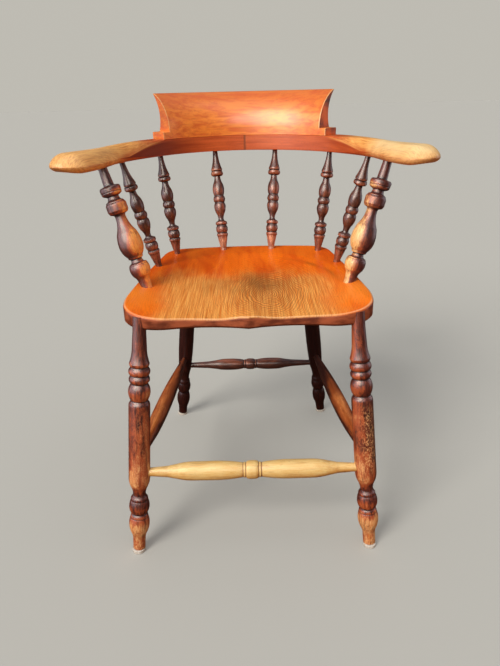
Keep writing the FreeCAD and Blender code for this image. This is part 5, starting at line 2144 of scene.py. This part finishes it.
@dataclass
class Studio:
    """Floor, lights and camera."""

    backdrop: Colour = shade(190.4, 187.4, 178.6)
    floor: Colour = shade(188.2, 185.2, 176.4)
    floor_bounce: Colour = shade(150, 120, 98)
    floor_sheen: Colour = shade(60, 42, 32)
    floor_size: float = 30.0
    # Share of plain backdrop colour in the floor, which keeps the shadow light.
    veil: float = 0.15
    low_sky: Colour = (0.34, 0.31, 0.28, 1.0)
    high_sky: Colour = (0.58, 0.60, 0.64, 1.0)
    dim_sheen: Colour = (0.03, 0.02, 0.02, 1.0)
    bright_sheen: Colour = (0.60, 0.62, 0.72, 1.0)
    key_power: float = 2.5
    key_spread: float = 28.0
    key_tint: Place = (1.0, 0.98, 0.95)
    key_place: Place = (-0.53, -0.58, 0.62)
    panels: tuple[Panel, ...] = (
        Panel("overhead", (2.2, 2.0), 1.8, (1.0, 0.95, 0.90), (-0.35, -0.85, 2.3), (0.0, 0.0, 1.0)),
        Panel("window", (1.15, 1.15), 9.0, (1.0, 0.97, 0.84), (-0.64, -0.84, 1.26), (-0.47, -0.81, 0.35)),
        Panel("front", (0.7, 0.9), 6.5, (1.0, 0.96, 0.92), (0.20, -2.30, 1.75), (0.08, -0.87, 0.49)),
        Panel("left_wall", (2.6, 1.9), 2.2, (0.94, 0.89, 1.0), (-1.75, -0.65, 0.9), (-0.93, -0.36, 0.10)),
        Panel("right_wall", (1.5, 1.6), 1.2, (0.96, 0.92, 1.0), (2.0, 0.4, 0.85), (1.0, 0.16, 0.08)),
    )
    focal_pixels: float = 550.0
    photo_height: int = 666
    sensor: float = 36.0
    near: float = 0.05
    far: float = 100.0
    eye: Place = (3.3, -1025.4, 767.8)
    pitch: float = 23.8
    yaw: float = 0.11
    roll: float = -1.44

    def build(self) -> None:
        """Set the stage, the lights and the camera."""
        self.build_floor()
        self.build_world()
        self.build_key()
        for panel in self.panels:
            panel.build()
        self.build_camera()
        bpy.context.scene.view_settings.view_transform = "Standard"

    def build_floor(self) -> None:
        """A wide pale floor that meets a backdrop of nearly its own colour and keeps the chair's shadow."""
        size = self.floor_size
        mesh = bpy.data.meshes.new("floor")
        corner_points = [(-size, -size, 0), (size, -size, 0), (size, size, 0), (-size, size, 0)]
        mesh.from_pydata(corner_points, [], [(0, 1, 2, 3)])
        floor = bpy.data.objects.new("floor", mesh)
        bpy.context.scene.collection.objects.link(floor)
        board = NodeBoard(bpy.data.materials.new("pale_floor"))
        path = board.add("ShaderNodeLightPath").outputs
        bounce = board.mix(path["Is Glossy Ray"], self.floor_bounce, self.floor_sheen)
        matt = board.shader("ShaderNodeBsdfDiffuse", board.mix(path["Is Camera Ray"], bounce, self.floor))
        veil = board.shader("ShaderNodeEmission", self.backdrop)
        veiled = board.mix_shaders(board.times(path["Is Camera Ray"], self.veil), matt, veil)
        board.put(veiled, board.output.inputs["Surface"])
        mesh.materials.append(board.owner)

    def build_world(self) -> None:
        """A backdrop for the camera, a dim world that is light overhead for polish, and an even sky."""
        world = bpy.data.worlds.new("studio")
        bpy.context.scene.world = world
        board = NodeBoard(world, "ShaderNodeOutputWorld")
        parts = board.add("ShaderNodeSeparateXYZ")
        board.put(board.add("ShaderNodeTexCoord").outputs["Generated"], parts.inputs[0])
        rise = parts.outputs["Z"]
        path = board.add("ShaderNodeLightPath").outputs
        sky = board.mix(board.span(rise, 0.0, 0.8), self.low_sky, self.high_sky)
        sheen = board.mix(board.span(rise, 0.55, 0.95), self.dim_sheen, self.bright_sheen)
        colours = (sky, sheen, self.backdrop)
        even, polish, seen = [board.shader("ShaderNodeBackground", colour) for colour in colours]
        light = board.mix_shaders(path["Is Glossy Ray"], even, polish)
        board.put(board.mix_shaders(path["Is Camera Ray"], light, seen), board.output.inputs["Surface"])

    def build_key(self) -> None:
        """A soft key light from the front left, which polish doesn't show."""
        key = bpy.data.lights.new("key", "SUN")
        key.energy = self.key_power
        key.angle = math.radians(self.key_spread)
        key.color = self.key_tint
        lamp = bpy.data.objects.new("key", key)
        lamp.rotation_euler = Vector(self.key_place).to_track_quat("Z", "Y").to_euler()
        lamp.visible_glossy = False
        bpy.context.scene.collection.objects.link(lamp)

    def build_camera(self) -> None:
        """The photograph's viewing point."""
        data = bpy.data.cameras.new("camera")
        data.sensor_width = self.sensor
        data.lens = self.focal_pixels * data.sensor_width / self.photo_height
        data.clip_start = self.near
        data.clip_end = self.far
        camera = bpy.data.objects.new("camera", data)
        pitch, yaw, roll = (math.radians(angle) for angle in (self.pitch, self.yaw, self.roll))
        right = Vector((math.cos(yaw), math.sin(yaw), 0.0))
        level = math.cos(pitch)
        forward = Vector((-math.sin(yaw) * level, math.cos(yaw) * level, -math.sin(pitch)))
        up = right.cross(forward)
        rolled_right = right * math.cos(roll) + up * math.sin(roll)
        rolled_up = up * math.cos(roll) - right * math.sin(roll)
        turn = Matrix((rolled_right, rolled_up, -forward)).transposed().to_4x4()
        camera.matrix_world = Matrix.Translation(Vector(self.eye) * MILLIMETRE) @ turn
        bpy.context.scene.collection.objects.link(camera)
        bpy.context.scene.camera = camera


def turned_finishes() -> dict[str, Material]:
    """Make the finishes of the turned pieces.

    Returns:
        The materials by the kind of piece.
    """
    finishes = {
        "front_leg": TurnedFinish(
            "worn_leg_stain", stain=shade(58, 20, 16), thin_stain=shade(122, 52, 32),
            amber=shade(176, 80, 38), bare=shade(210, 122, 56), bare_light=shade(240, 178, 116)),
        "rear_leg": TurnedFinish(
            "dark_leg_stain", stain=shade(38, 12, 8), thin_stain=shade(62, 22, 14),
            amber=shade(96, 40, 24), bare=shade(140, 70, 40), bare_light=shade(170, 100, 60),
            gloss=0.36, blotch=0.6, polish=0.4),
        "arm_post_left": TurnedFinish(
            "post_stain", stain=shade(66, 30, 24), thin_stain=shade(108, 46, 30),
            amber=shade(170, 70, 28), bare=shade(236, 130, 34), bare_light=shade(252, 172, 76),
            blotch=0.8),
        "arm_post_right": TurnedFinish(
            "pale_post_stain", stain=shade(62, 28, 26), thin_stain=shade(104, 48, 38),
            amber=shade(160, 80, 46), bare=shade(226, 156, 80), bare_light=shade(248, 204, 132),
            blotch=0.8),
        "spindle": TurnedFinish(
            "spindle_stain", stain=shade(62, 35, 28), thin_stain=shade(104, 58, 44),
            amber=shade(160, 88, 58), bare=shade(200, 128, 86), bare_light=shade(226, 166, 124),
            gloss=0.30, blotch=0.65),
        "front_stretcher": TurnedFinish(
            "bare_stretcher", stain=shade(168, 98, 40), thin_stain=shade(192, 122, 56),
            amber=shade(214, 152, 76), bare=shade(230, 178, 98), bare_light=shade(238, 200, 128),
            dirt_and_groove_shade=shade(130, 66, 34), blotch=0.5),
        "side_stretcher": TurnedFinish(
            "side_stretcher_stain", stain=shade(56, 20, 10), thin_stain=shade(88, 36, 16),
            amber=shade(160, 76, 26), bare=shade(208, 112, 44), bare_light=shade(226, 142, 74),
            gloss=0.36, blotch=0.45, shine=0.35, polish=0.4),
    }
    materials = {piece: finish.build() for piece, finish in finishes.items()}
    materials["rear_stretcher"] = materials["spindle"]
    return materials


def bow_finishes() -> tuple[Material, Material]:
    """Make the finishes of the arms and of the crest rail.

    Returns:
        The arms' material and the crest rail's.
    """
    arms = BowFinish(
        "arm_wax", deep=shade(184, 74, 24), orange=shade(214, 102, 44), worn=shade(222, 140, 62),
        pale=shade(248, 184, 98), cream=shade(250, 216, 154), brown=shade(104, 50, 20),
        end_grain_and_shade=shade(190, 110, 60), dark=shade(122, 42, 6),
        along=True, gloss=0.42, shine=0.2, polish=(0.35, 0.45))
    # The crest rail's end grain and shade colour is dark because its right end is painted in shade.
    crest = BowFinish(
        "crest_wax", deep=shade(230, 106, 28), orange=shade(255, 150, 46), worn=shade(226, 140, 64),
        pale=shade(248, 204, 136), cream=shade(250, 216, 154), brown=shade(130, 56, 20),
        end_grain_and_shade=shade(76, 30, 14), dark=shade(196, 80, 6),
        along=False, gloss=0.40, shine=0.3, polish=(0.85, 0.85))
    return arms.build(), crest.build()


def dress_dowels(frame: dict) -> None:
    """Give the hidden dowels plain wood.

    Args:
        frame: what the frame's loader gave, with its nodes by name.
    """
    bare = PlainFinish("bare_dowel", shade(205, 165, 115), shade(180, 138, 90)).build()
    for node in ("crest_dowels", "arm_joint_dowel"):
        mesh = frame["nodes"][node].data
        mesh.materials.clear()
        mesh.materials.append(bare)


def main() -> None:
    """Build the dressed chair and its studio."""
    logging.basicConfig(level=logging.INFO)
    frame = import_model()
    turned = turned_finishes()
    pads = PlainFinish("foot_pad", shade(226, 218, 204), shade(196, 186, 170)).build()
    arm_wax, crest_wax = bow_finishes()
    Underframe().build(turned, pads)
    Uprights().build(turned)
    Seat().build(SeatFinish().build())
    ArmBow().build(arm_wax)
    Crest().build(crest_wax)
    dress_dowels(frame)
    Studio().build()
    bpy.context.view_layer.update()


if __name__ == "__main__":
    main()
